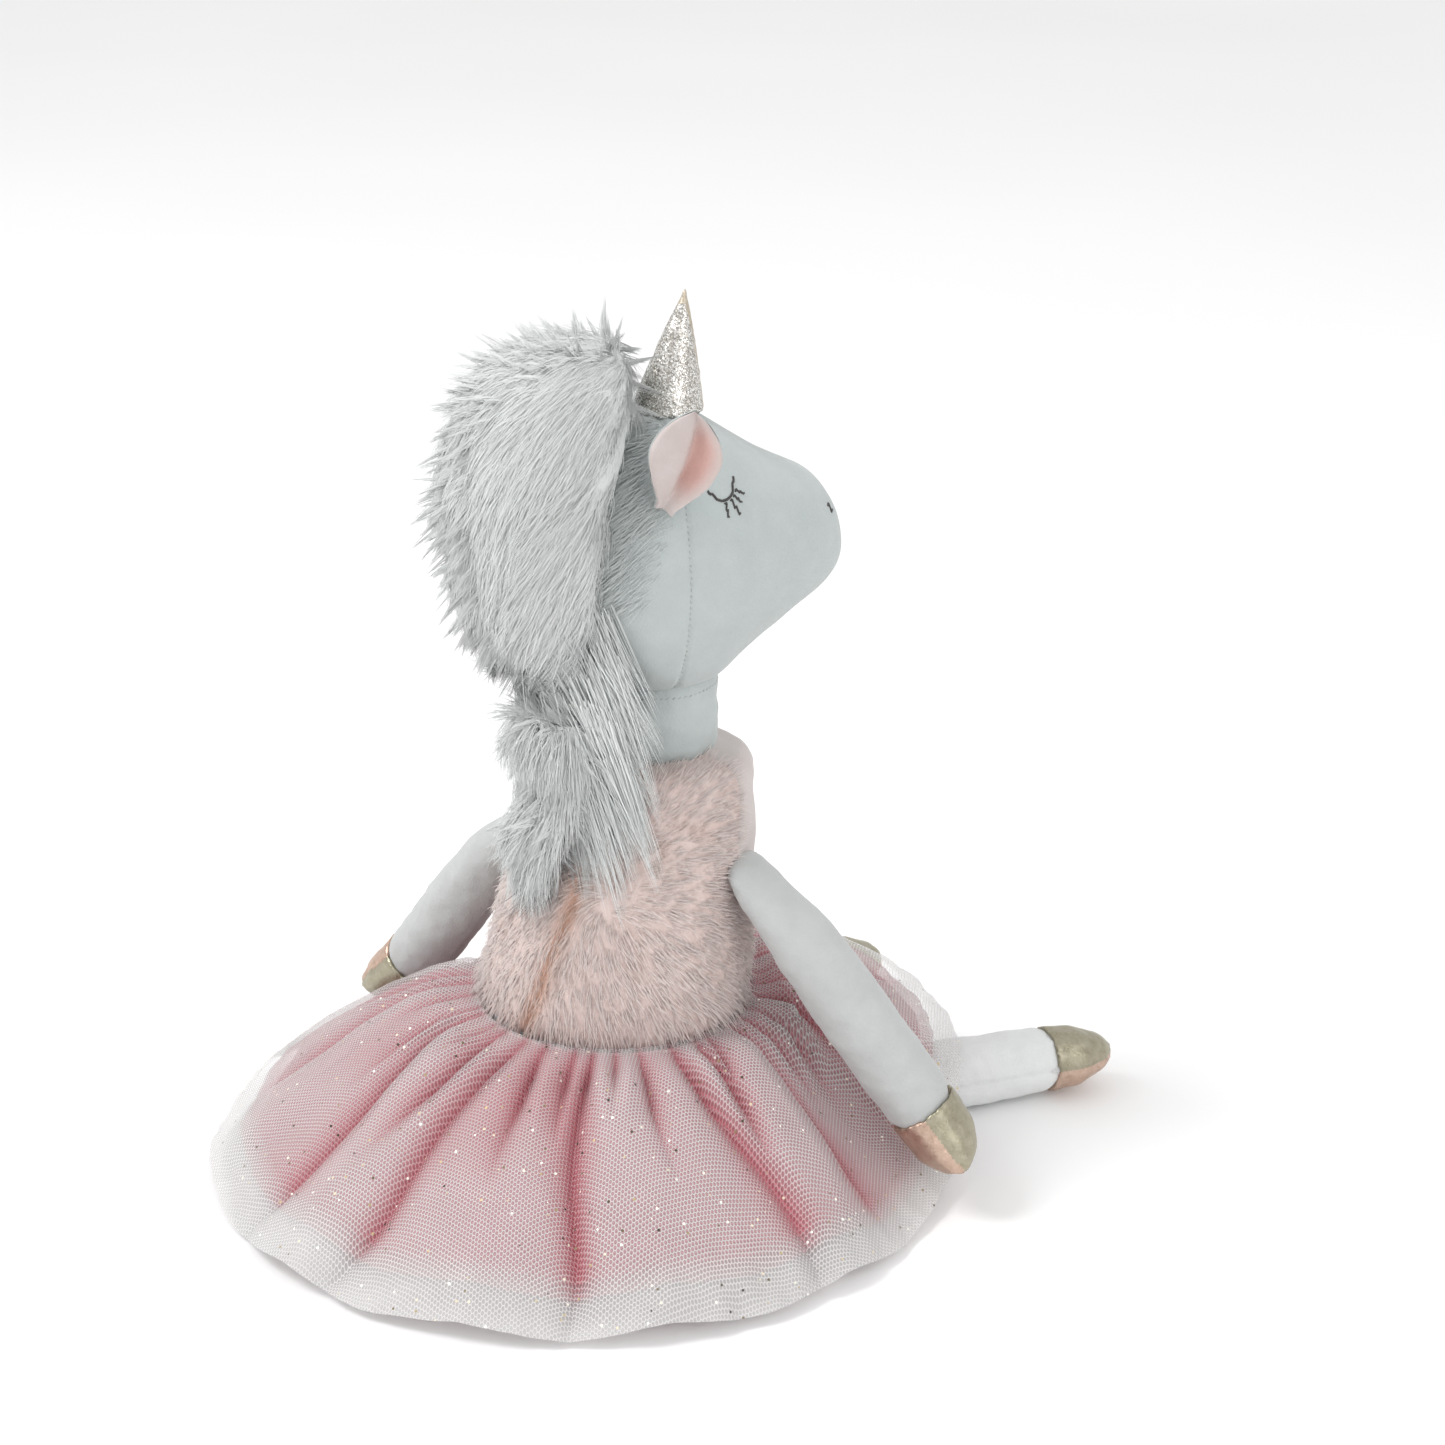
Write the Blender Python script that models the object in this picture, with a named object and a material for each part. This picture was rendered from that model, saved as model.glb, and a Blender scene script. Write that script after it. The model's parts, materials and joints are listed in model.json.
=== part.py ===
"""Seated plush unicorn in a ballerina dress, modelled as its sewn panels, fillings and skirt layers.

Frame: the origin is on the floor under the middle of the seat, the chest faces -Y, +X is the doll's
left side and +Z is up. The head is turned to the doll's right and both legs lie on the floor.
Angles around the body are measured from straight ahead (-Y) towards the doll's right (-X).
"""
import math

import bmesh
import bpy
from mathutils import Matrix, Vector

# ---- cloth and clearances -------------------------------------------------------------------------
CLOTH = 0.0014            # thickness of the plush cloth
TULLE = 0.0009            # thickness given to a skirt layer
GAP = 0.0004              # air between two pieces that touch
MIN_INNER = 0.0004        # least half-size of the hollow inside a pointed shell

# ---- torso ----------------------------------------------------------------------------------------
SEAT_RADIUS = 0.0390      # flat seat panel
HIP_RADIUS = 0.0465       # lower body under the skirt
WAIST_RADIUS = 0.0480     # where the bodice meets the skirt
CHEST_RADIUS = 0.0445
SHOULDER_RADIUS = 0.0395
WAIST_Z = 0.0640
CHEST_Z = 0.1050
SHOULDER_Z = 0.1400
TORSO_TOP_Z = 0.1580
TORSO_DEPTH = 0.94        # front to back size as a share of the width
FILLING_SLACK = 0.0010    # the torso's filling stays this much further inside the bodice's flats
BEAN_BAG_HEIGHT = 0.0170
BACK_SEAM_LOW = -6.0      # angle of the bodice's back seam from the spine, in degrees, at the waist
BACK_SEAM_HIGH = 16.0     # and at the shoulders

# ---- neck and head --------------------------------------------------------------------------------
NECK_X = -0.0123
NECK_Y = -0.0086
NECK_RADIUS = 0.0225
NECK_HOLE_RADIUS = NECK_RADIUS + 0.0013
NECK_PIVOT_Z = 0.1635
NECK_TOP_Z = 0.1838
FILLING_TOP_Z = NECK_PIVOT_Z - NECK_RADIUS - 0.0025     # the torso's filling ends under the neck's ball
HEAD_TURN = 35.0          # degrees to the doll's right of straight ahead
HEAD_BOTTOM_Z = NECK_TOP_Z + GAP
HEAD_CHIN_Z = 0.1760      # lowest point of the head's round, cut flat where it sits on the neck
HEAD_TOP_Z = 0.2795
HEAD_BACK = -0.0390       # back of the head behind the neck's axis
HEAD_SEAM = 0.0037        # seam between face and back of head
MUZZLE_FRONT = 0.0668
MUZZLE_HEIGHT = 0.500     # height of the muzzle's tip, as a share of the head's height
HEAD_HALF_WIDTH = 0.0415
HORN_S = 0.0062           # the horn's middle, forward of the neck's axis
HORN_RADIUS = 0.0097
HORN_TIP_Z = HEAD_TOP_Z + 0.0370
HORN_TIP_S = HORN_S + 0.0065
EAR_LENGTH = 0.0350
EAR_HALF_WIDTH = 0.0132
EAR_Z = HEAD_TOP_Z - 0.0245
EAR_S = -0.0095
EAR_STANDOFF = 0.0030     # from the head's surface to the middle of the ear's foot
EYE_S = 0.0143
EYE_Z = HEAD_TOP_Z - 0.0201
EYE_RADIUS = 0.0053
EYE_FROM = 196.0          # the closed lid's arc, in degrees from straight forward
EYE_TO = 370.0
LASHES = ((274.0, 0.0051), (298.0, 0.0062), (315.0, 0.0043), (332.0, 0.0043))    # angle and reach
LASH_START = 0.0009
STITCH = 0.0009           # width of an embroidered line

# ---- arms -----------------------------------------------------------------------------------------
ARM_RADIUS = 0.0133
ARM_LENGTH = 0.1050       # shoulder pivot to cuff
HAND_HOOF_LENGTH = 0.0250
HAND_HOOF_HALF_WIDTH = ARM_RADIUS + 0.0015
SHOULDER_PIVOT_Z = 0.1240
SHOULDER_CLEARANCE = 0.0046
HAND_LIFT = {"right": 0.0130, "left": 0.0116}     # height of the hoof's tip above the skirt
ARM_FORWARD = {"right": 24.0, "left": 9.0}       # degrees forward of straight sideways
ARM_ROLL = 30.0           # twist of the arm between its shoulder seam and its cuff, in degrees

# ---- legs -----------------------------------------------------------------------------------------
LEG_RADIUS = 0.0135
LEG_LENGTH = 0.1150       # hip pivot to the hoof's seam
FOOT_HOOF_LENGTH = 0.0280
HIP_ANGLE = 44.7          # from straight ahead, on both sides
HIP_STANDOFF = 0.0064     # from the body's surface to the hip's axis
LEG_ANGLE = {"right": 36.0, "left": 17.0}         # degrees to the doll's right of straight ahead

# ---- skirt ----------------------------------------------------------------------------------------
SKIRT_RADIUS = 0.1340     # mean radius of the outer hem on the floor
SKIRT_SPILL = 0.0105      # how much further the hem lies on one side
SKIRT_SPILL_ANGLE = -110.0
SKIRT_RUFFLES = 12
SKIRT_WAVE = 0.0045       # height of the ruffles at the hem
SKIRT_CURVE = 1.45        # above 1 the skirt stands out at the waist before it falls
LAYER_STEP = 0.0022       # from one skirt layer to the next, downwards
LEG_AIR = 0.0018          # between a leg and the lowest skirt layer
ARCH_FROM = -34.0
ARCH_TO = 54.0
ARCH_RAMP = 15.0
ARM_DENT = 0.0165         # how far an arm presses the skirt down
ARM_DENT_ANGLES = (77.0, -79.0)   # where the right and the left arm do so
ARM_DENT_SPREAD = 24.0
HEM_Z = 0.0011
ARCH_Z = 2 * LEG_RADIUS + GAP + 2 * LAYER_STEP + TULLE + LEG_AIR    # outer hem's height over the legs
UNDERSKIRT_REACH = 0.87   # share of the way from waist to outer hem
LINING_REACH = 0.80
SKIRT_ROW = 0.20          # rows of a skirt layer, as shares of that way
WAISTBAND_HEIGHT = 0.0060

ROUND = 20                # points around a limb or the torso
HEAD_ROUND = 20


# ---- materials ------------------------------------------------------------------------------------
def make_material(name, colour, roughness, metallic=0.0):
    material = bpy.data.materials.new(name)
    material.use_nodes = True
    shader = material.node_tree.nodes["Principled BSDF"]
    shader.inputs["Base Color"].default_value = (*colour, 1.0)
    shader.inputs["Roughness"].default_value = roughness
    shader.inputs["Metallic"].default_value = metallic
    return material


# ---- mesh builders --------------------------------------------------------------------------------
def add_object(name, mesh_data, material, parent=None):
    """Makes a smooth-shaded object; its origin goes to the parent empty when it has one."""
    mesh = bpy.data.meshes.new(name)
    mesh_data.normal_update()
    mesh_data.to_mesh(mesh)
    mesh_data.free()
    mesh.materials.append(material)
    mesh.shade_smooth()
    mesh.set_sharp_from_angle(angle=math.radians(40))
    thing = bpy.data.objects.new(name, mesh)
    bpy.context.scene.collection.objects.link(thing)
    if parent is not None:
        mesh.transform(Matrix.Translation(-parent.location))
        thing.parent = parent
    return thing


def finish_faces(mesh_data):
    bmesh.ops.recalc_face_normals(mesh_data, faces=mesh_data.faces)
    if mesh_data.calc_volume(signed=True) < 0.0:
        bmesh.ops.reverse_faces(mesh_data, faces=mesh_data.faces)
    return mesh_data


def ring_body(rings):
    """A closed body through rings of points; a ring of one point is a pole."""
    mesh_data = bmesh.new()
    rows = [[mesh_data.verts.new(p) for p in ring] for ring in rings]
    for low, high in zip(rows, rows[1:]):
        count = max(len(low), len(high))
        for j in range(count):
            k = (j + 1) % count
            if len(low) == 1:
                mesh_data.faces.new((low[0], high[k], high[j]))
            elif len(high) == 1:
                mesh_data.faces.new((low[j], low[k], high[0]))
            else:
                mesh_data.faces.new((low[j], low[k], high[k], high[j]))
    for end in (rows[0], rows[-1]):
        if len(end) > 1:
            mesh_data.faces.new(end)
    return finish_faces(mesh_data)


def tube_body(outer, inner):
    """An open tube: two stacks of rings, joined at both ends. Both walls split their quads alike."""
    mesh_data = bmesh.new()
    rows = [[mesh_data.verts.new(p) for p in ring] for ring in outer + inner[::-1]]
    for number, (low, high) in enumerate(zip(rows, rows[1:] + rows[:1])):
        for j in range(len(low)):
            k = (j + 1) % len(low)
            if number < len(outer):
                mesh_data.faces.new((low[j], low[k], high[k]))
                mesh_data.faces.new((low[j], high[k], high[j]))
            else:
                mesh_data.faces.new((low[j], low[k], high[j]))
                mesh_data.faces.new((low[k], high[k], high[j]))
    return finish_faces(mesh_data)


def cup_body(outer, inner):
    """A shell open at its last ring; each stack starts at its pole, a ring of one point."""
    return ring_body(outer + inner[::-1])


def panel_body(outer, inner):
    """A panel of cloth between two grids of points with the same rows and columns."""
    mesh_data = bmesh.new()
    sides = []
    for grid in (outer, inner):
        sides.append([[mesh_data.verts.new(p) for p in row] for row in grid])
    rows = len(outer)
    columns = len(outer[0])
    for side in sides:
        for i in range(rows - 1):
            for j in range(columns - 1):
                mesh_data.faces.new((side[i][j], side[i][j + 1], side[i + 1][j + 1], side[i + 1][j]))
    border = [(0, j) for j in range(columns)]
    border += [(i, columns - 1) for i in range(1, rows)]
    border += [(rows - 1, j) for j in range(columns - 2, -1, -1)]
    border += [(i, 0) for i in range(rows - 2, 0, -1)]
    for (a, b), (c, d) in zip(border, border[1:] + border[:1]):
        mesh_data.faces.new((sides[0][a][b], sides[0][c][d], sides[1][c][d], sides[1][a][b]))
    return finish_faces(mesh_data)


# ---- torso ----------------------------------------------------------------------------------------
TORSO_OUTLINE = (         # height and radius, from the seat up to the neck hole
    (0.0, SEAT_RADIUS),
    (0.012, HIP_RADIUS),
    (0.034, HIP_RADIUS),
    (WAIST_Z, WAIST_RADIUS),
    (CHEST_Z, CHEST_RADIUS),
    (SHOULDER_Z, SHOULDER_RADIUS),
    (SHOULDER_Z + 0.011, SHOULDER_RADIUS - 0.006),
    (TORSO_TOP_Z, NECK_HOLE_RADIUS + 0.003),
)


def smooth_value(table, x):
    """Reads a table of (x, value) with a smooth curve through its points."""
    for k in range(len(table) - 1):
        x0, y0 = table[k]
        x1, y1 = table[k + 1]
        if x <= x1 or k == len(table) - 2:
            before = table[max(k - 1, 0)]
            after = table[min(k + 2, len(table) - 1)]
            slope0 = (y1 - before[1]) / (x1 - before[0])
            slope1 = (after[1] - y0) / (after[0] - x0)
            t = min(max((x - x0) / (x1 - x0), 0.0), 1.0)
            span = x1 - x0
            return ((2 * t ** 3 - 3 * t ** 2 + 1) * y0 + (t ** 3 - 2 * t ** 2 + t) * span * slope0
                    + (3 * t ** 2 - 2 * t ** 3) * y1 + (t ** 3 - t ** 2) * span * slope1)
    return table[-1][1]


def torso_middle(z):
    """The torso leans from the seat's middle at the waist to the neck's axis at the top."""
    share = max(z - WAIST_Z, 0.0) / (TORSO_TOP_Z - WAIST_Z)
    return Vector((NECK_X * share, NECK_Y * share, z))


def torso_point(z, angle, inset=0.0):
    """A point on the torso's surface; angle in degrees from straight ahead to the doll's right."""
    radius = smooth_value(TORSO_OUTLINE, z) - inset
    turn = math.radians(angle)
    middle = torso_middle(z)
    return middle + Vector((-radius * math.sin(turn), -radius * TORSO_DEPTH * math.cos(turn), 0.0))


def torso_ring(z, inset=0.0):
    return [torso_point(z, 360.0 * k / ROUND, inset) for k in range(ROUND)]


def spaced(low, high, steps):
    return [low + (high - low) * k / steps for k in range(steps + 1)]


def back_seam_angle(z):
    share = (z - WAIST_Z) / (TORSO_TOP_Z - WAIST_Z)
    return 180.0 - (BACK_SEAM_LOW + (BACK_SEAM_HIGH - BACK_SEAM_LOW) * share)


def bodice_heights():
    return spaced(WAIST_Z + GAP, TORSO_TOP_Z, 6)


def build_bodice(plush):
    """Three fur panels: one in front and two that meet in the back seam."""
    half_gap = 0.4
    side_seam = 88.0
    heights = bodice_heights()
    panels = {
        "bodice_front": lambda z: (-side_seam + half_gap, side_seam - half_gap),
        "bodice_back_right": lambda z: (side_seam + half_gap, back_seam_angle(z) - half_gap),
        "bodice_back_left": lambda z: (back_seam_angle(z) + half_gap, 360.0 - side_seam - half_gap),
    }
    for name, limits in panels.items():
        outer = []
        inner = []
        for z in heights:
            low, high = limits(z)
            angles = spaced(low, high, 8 if name == "bodice_front" else 5)
            outer.append([torso_point(z, a) for a in angles])
            inner.append([torso_point(z, a, CLOTH) for a in angles])
        add_object(name, panel_body(outer, inner), plush)


def build_lower_body(plush, bag_cloth, filling_material):
    """The white body under the skirt, with its seat, its bag of beans and the torso's filling."""
    base = CLOTH + 2 * GAP
    bag_top = base + BEAN_BAG_HEIGHT
    low_heights = [base, 0.012, bag_top, 0.034, WAIST_Z]
    outer = [torso_ring(z) for z in low_heights]
    inner = [torso_ring(z, CLOTH) for z in low_heights]
    add_object("lower_body_cover", tube_body(outer, inner), plush)

    edge = torso_ring(0.0)
    seat = [[Vector((p.x, p.y, z)) for p in edge] for z in (0.0, CLOTH)]
    add_object("seat_panel", ring_body(seat), plush)

    inset = CLOTH + GAP
    bag = [torso_ring(z, inset) for z in low_heights[:3]]
    add_object("bean_bag", ring_body(bag), bag_cloth)
    heights = [bag_top + GAP, 0.034, WAIST_Z]
    heights += [z for z in bodice_heights() if z < FILLING_TOP_Z - 0.002]
    rings = [torso_ring(z, inset + FILLING_SLACK) for z in heights]
    rings.append(torso_ring(FILLING_TOP_Z, inset + FILLING_SLACK + GAP))
    add_object("torso_filling", ring_body(rings), filling_material)


# ---- neck -----------------------------------------------------------------------------------------
def neck_ring(z, inset=0.0):
    """The neck is a tube above its pivot and a ball below it, so it can nod in the neck hole."""
    radius = NECK_RADIUS - inset
    below = min(z - NECK_PIVOT_Z, 0.0)
    half = math.sqrt(max(radius ** 2 - below ** 2, 0.0))
    return [Vector((NECK_X - half * math.sin(a), NECK_Y - half * math.cos(a), z))
            for a in (2 * math.pi * k / ROUND for k in range(ROUND))]


def neck_rings(inset, top):
    """Rings from the ball's pole up to the top, as far inside the cover as the inset says."""
    radius = NECK_RADIUS - inset
    rings = [[Vector((NECK_X, NECK_Y, NECK_PIVOT_Z - radius))]]
    for share in (0.90, 0.62, 0.30):
        rings.append(neck_ring(NECK_PIVOT_Z - radius * share, inset))
    rings.append(neck_ring(NECK_PIVOT_Z, inset))
    rings.append(neck_ring(top, inset))
    return rings


# ---- head -----------------------------------------------------------------------------------------
HEAD_SHAPE = (            # shares of the head's length, half width and height: place, width, low and high
    (0.011, 0.217, 0.454, 0.609),
    (0.046, 0.542, 0.271, 0.734),
    (0.128, 0.807, 0.097, 0.879),
    (0.250, 0.976, 0.019, 0.971),
    (0.404, 1.000, 0.000, 1.000),
    (0.520, 0.964, 0.040, 0.968),
    (0.652, 0.870, 0.160, 0.872),
    (0.790, 0.745, 0.262, 0.795),
    (0.885, 0.650, 0.325, 0.742),
    (0.950, 0.490, 0.378, 0.674),
    (0.989, 0.205, 0.446, 0.564),
)
HEAD_LENGTH = MUZZLE_FRONT - HEAD_BACK


def head_height(share):
    return HEAD_CHIN_Z + (HEAD_TOP_Z - HEAD_CHIN_Z) * share


HEAD_STATIONS = [         # forward of the neck's axis, half width, lowest and highest point
    (HEAD_BACK + HEAD_LENGTH * place, HEAD_HALF_WIDTH * width, head_height(low), head_height(high))
    for place, width, low, high in HEAD_SHAPE
]
MUZZLE_Z = head_height(MUZZLE_HEIGHT)
BACK_POLE_Z = head_height((HEAD_SHAPE[0][2] + HEAD_SHAPE[0][3]) / 2)
HEAD_FACING = Vector((-math.sin(math.radians(HEAD_TURN)), -math.cos(math.radians(HEAD_TURN)), 0.0))
HEAD_LEFT = Vector((-HEAD_FACING.y, HEAD_FACING.x, 0.0))


def head_place(forward, left, z):
    """World point for a place given in the turned head."""
    return Vector((NECK_X, NECK_Y, 0.0)) + HEAD_FACING * forward + HEAD_LEFT * left + Vector((0, 0, z))


def head_size(forward):
    """Half width, half height and middle height of the head's section."""
    columns = [smooth_value([(row[0], row[k]) for row in HEAD_STATIONS], forward) for k in (1, 2, 3)]
    width, low, high = columns
    return width, (high - low) / 2, (high + low) / 2


def head_half_width(forward, z, lift=0.0):
    """How far the head reaches sideways at a height, plus a lift off its surface."""
    width, height, middle = head_size(forward)
    share = min(abs(z - middle) / (height + lift), 0.999)
    return (width + lift) * math.sqrt(1.0 - share ** 2)


def head_top(forward, left, lift=0.0):
    width, height, middle = head_size(forward)
    share = min(abs(left) / (width + lift), 0.999)
    return middle + (height + lift) * math.sqrt(1.0 - share ** 2)


def head_ring(forward, inset=0.0, pulled=0.0):
    """A section of the head, flat below where it sits on the neck."""
    width, height, middle = head_size(forward)
    ring = []
    for k in range(HEAD_ROUND):
        a = 2 * math.pi * k / HEAD_ROUND
        z = middle + (height - inset) * math.cos(a)
        z = max(z, HEAD_BOTTOM_Z + inset)
        ring.append(head_place(forward + pulled, (width - inset) * math.sin(a), z))
    return ring


def head_stack(stations, pole, inset):
    """Rings from a pole of the head towards the seam, as far inside as the inset says."""
    direction = 1.0 if pole > 0 else -1.0
    middle = MUZZLE_Z if pole > 0 else BACK_POLE_Z
    rings = [[head_place(pole - direction * inset, 0.0, middle)]]
    for forward in stations:
        near_pole = abs(forward - pole) < 0.008
        rings.append(head_ring(forward, inset, -direction * inset if near_pole else 0.0))
    return rings


def build_head(plush, filling_material, head):
    front = [row[0] for row in HEAD_STATIONS if row[0] > HEAD_SEAM][::-1]
    rear = [row[0] for row in HEAD_STATIONS if row[0] < HEAD_SEAM]
    for name, stations, pole, edge in (
        ("face_panel", front, MUZZLE_FRONT, HEAD_SEAM + GAP / 2),
        ("head_back_panel", rear, HEAD_BACK, HEAD_SEAM - GAP / 2),
    ):
        outer = head_stack(stations + [edge], pole, 0.0)
        inner = head_stack(stations + [edge], pole, CLOTH)
        add_object(name, cup_body(outer, inner), plush, head)
    inset = CLOTH + GAP + 1.5 * FILLING_SLACK
    rings = head_stack(rear + [HEAD_SEAM], HEAD_BACK, inset)
    rings += head_stack(front, MUZZLE_FRONT, inset)[::-1]
    add_object("head_filling", ring_body(rings), filling_material, head)


def horn_rings(inset, lift, tip_drop):
    """Rings of the horn, from its foot on the head's top to near its tip."""
    rings = []
    count = 12
    for share in (0.0, 0.30, 0.62, 0.88):
        radius = (HORN_RADIUS - inset) * (1.0 - share) + 0.0009 * share
        ring = []
        for k in range(count):
            a = 2 * math.pi * k / count
            forward = HORN_S + (HORN_TIP_S - HORN_S) * share + radius * math.cos(a)
            left = radius * math.sin(a)
            foot = head_top(HORN_S + radius * math.cos(a), left, lift)
            ring.append(head_place(forward, left, foot + (HORN_TIP_Z - tip_drop - foot) * share))
        rings.append(ring)
    rings.append([head_place(HORN_TIP_S, 0.0, HORN_TIP_Z - tip_drop)])
    return rings


def build_horn(glitter, filling_material, head):
    outer = horn_rings(0.0, GAP, 0.0)[::-1]
    inner = horn_rings(CLOTH, GAP, 0.0055)[::-1]
    add_object("horn_cover", cup_body(outer, inner), glitter, head)
    filling = horn_rings(CLOTH + GAP + FILLING_SLACK, GAP + FILLING_SLACK * 1.6, 0.0085)
    add_object("horn_filling", ring_body(filling), filling_material, head)


def ear_axes(side):
    """The ear's foot, its length, its width (its hinge) and the way it opens; side +1 is the left ear."""
    base = head_place(EAR_S, side * (head_half_width(EAR_S, EAR_Z) + EAR_STANDOFF), EAR_Z)
    out = HEAD_LEFT * side
    up = (Vector((0, 0, 1)) * 0.96 + out * 0.26 + HEAD_FACING * 0.10).normalized()
    facing = HEAD_FACING * 0.15 + out * 0.99
    facing = (facing - up * facing.dot(up)).normalized()
    return base, up, up.cross(facing), facing


def ear_grid(side, scale, lift):
    """A cupped leaf on the side of the head."""
    base, up, across, facing = ear_axes(side)
    grid = []
    for v in (0.0, 0.14, 0.36, 0.60, 0.82, 0.96, 1.0):
        width = EAR_HALF_WIDTH * scale * (0.42 + 0.58 * math.sin(math.pi * (0.10 + 0.72 * v)))
        width *= math.sqrt(max(1.0 - (max(v - 0.55, 0.0) / 0.50) ** 2, 0.01))
        row = []
        for k in range(7):
            u = -1.0 + k / 3.0
            cup = 0.0062 * u * u * (1.15 - 0.55 * v)
            row.append(base + up * (EAR_LENGTH * (0.02 + v * scale)) + across * (width * u)
                       + facing * (cup + lift))
        grid.append(row)
    return grid


def build_ears(plush, pink):
    for name, side in (("left", 1.0), ("right", -1.0)):
        foot = bpy.data.objects.new("ear_axis_" + name, None)
        foot.location = ear_axes(side)[0]
        bpy.context.scene.collection.objects.link(foot)
        outer = panel_body(ear_grid(side, 1.0, -CLOTH), ear_grid(side, 1.0, 0.0))
        add_object("ear_back_" + name, outer, plush, foot)
        inner = panel_body(ear_grid(side, 0.90, GAP), ear_grid(side, 0.90, GAP + CLOTH * 0.8))
        add_object("ear_lining_" + name, inner, pink, foot)


def stitched_line(points, side, lift, width):
    """A flat bar of thread along points (forward, z) on the side of the face."""
    outer = []
    inner = []
    for k, (forward, z) in enumerate(points):
        ahead = points[min(k + 1, len(points) - 1)]
        behind = points[max(k - 1, 0)]
        along = Vector((ahead[0] - behind[0], ahead[1] - behind[1])).normalized()
        across = Vector((-along.y, along.x)) * width / 2
        for grid, height in ((outer, lift + 0.0006), (inner, lift)):
            row = []
            for sign in (-1.0, 1.0):
                f = forward + across.x * sign
                h = z + across.y * sign
                row.append(head_place(f, side * head_half_width(f, h, height), h))
            grid.append(row)
    return panel_body(outer, inner)


NOSTRIL = ((0.0087, 0.661), (0.0077, 0.639))      # distance behind the muzzle's front, and height


def build_face_stitching(thread, head):
    for name, side in (("left", 1.0), ("right", -1.0)):
        arc = []
        for k in range(9):
            a = math.radians(EYE_FROM + (EYE_TO - EYE_FROM) * k / 8)
            arc.append((EYE_S + EYE_RADIUS * math.cos(a), EYE_Z + EYE_RADIUS * math.sin(a)))
        add_object("eye_lid_" + name, stitched_line(arc, side, GAP, STITCH), thread, head)
        for number, (turn, reach) in enumerate(LASHES):
            a = math.radians(turn)
            lash = [(EYE_S + (EYE_RADIUS + r) * math.cos(a), EYE_Z + (EYE_RADIUS + r) * math.sin(a))
                    for r in (LASH_START, (LASH_START + reach) / 2, reach)]
            add_object(f"eyelash_{name}_{number + 1}", stitched_line(lash, side, GAP, STITCH * 0.8),
                       thread, head)
        nostril = [(MUZZLE_FRONT - back, head_height(share)) for back, share in NOSTRIL]
        add_object("nostril_" + name, stitched_line(nostril, side, GAP, STITCH), thread, head)


# ---- mane -----------------------------------------------------------------------------------------
def on_head(direction, lift):
    """Distance from the head's middle to its surface along a direction (forward, left, up)."""
    low, high = 0.0, 0.12
    for _ in range(24):
        reach = (low + high) / 2
        forward = direction[0] * reach
        left = direction[1] * reach
        z = MANE_MIDDLE_Z + direction[2] * reach
        inside = HEAD_BACK < forward < MUZZLE_FRONT
        if inside:
            width, height, middle = head_size(forward)
            inside = (left / (width + lift)) ** 2 + ((z - middle) / (height + lift)) ** 2 < 1.0
        if inside:
            low = reach
        else:
            high = reach
    return high + lift


MANE_MIDDLE_Z = HEAD_TOP_Z - 0.0395
MANE_STAND = (            # elevation from straight back, in degrees, and how far the fur stands off the head
    (-70.0, 0.0180),
    (-50.0, 0.0260),
    (-25.0, 0.0290),
    (0.0, 0.0340),
    (22.0, 0.0390),
    (42.0, 0.0400),
    (62.0, 0.0330),
    (80.0, 0.0230),
    (98.0, 0.0170),
)
MANE_AXIS_TILT = 35.0     # the tuft's middle points back and up by this much
MANE_UP = 47.0            # how far it reaches from there, in degrees: to the horn,
MANE_SIDE = 46.0          # to the ears
MANE_DOWN = 92.0          # and to the nape


def build_mane_crown(fur, head):
    """The tuft over the top and back of the head, hollow where the head fills it."""
    tilt = math.radians(MANE_AXIS_TILT)
    axis = Vector((-math.cos(tilt), 0.0, math.sin(tilt)))
    upward = Vector((math.sin(tilt), 0.0, math.cos(tilt)))
    sideways = Vector((0.0, 1.0, 0.0))
    outer = []
    inner = []
    for share in (0.0, 0.30, 0.58, 0.82, 1.0):
        outside = []
        inside = []
        count = 1 if share == 0.0 else 16
        for k in range(count):
            around = 2 * math.pi * k / count
            high = max(math.cos(around), 0.0) ** 2
            low = max(-math.cos(around), 0.0) ** 1.5
            reach_angle = MANE_SIDE + (MANE_UP - MANE_SIDE) * high + (MANE_DOWN - MANE_SIDE) * low
            polar = math.radians(reach_angle) * share
            direction = (axis * math.cos(polar)
                         + (upward * math.cos(around) + sideways * math.sin(around)) * math.sin(polar))
            foot = on_head(direction, 3 * GAP)
            elevation = math.degrees(math.atan2(direction.z, -direction.x))
            stand = smooth_value(MANE_STAND, elevation) * (1.0 - 0.75 * abs(direction.y) ** 1.5)
            for ring, reach in ((outside, foot + stand), (inside, foot)):
                p = direction * reach
                z = max(MANE_MIDDLE_Z + p.z, HEAD_BOTTOM_Z + 0.003)
                ring.append(head_place(p.x, p.y, z))
        outer.append(outside)
        inner.append(inside)
    add_object("mane_crown", cup_body(outer, inner), fur, head)


NAPE_TURN = 17.0          # the mane falls this far to the doll's left of straight back, in degrees
NAPE_NECK = (             # height, air behind the neck, half thickness, half width
    (NECK_TOP_Z - 0.0006, 0.0020, 0.0155, 0.0200),
    (0.1700, 0.0025, 0.0145, 0.0205),
)
NAPE_BACK = (             # height, air behind the bodice, half thickness, half width
    (0.1590, 0.0040, 0.0095, 0.0195),
    (0.1500, 0.0040, 0.0055, 0.0180),
    (0.1350, 0.0040, 0.0050, 0.0150),
    (0.1180, 0.0030, 0.0030, 0.0090),
)


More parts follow.
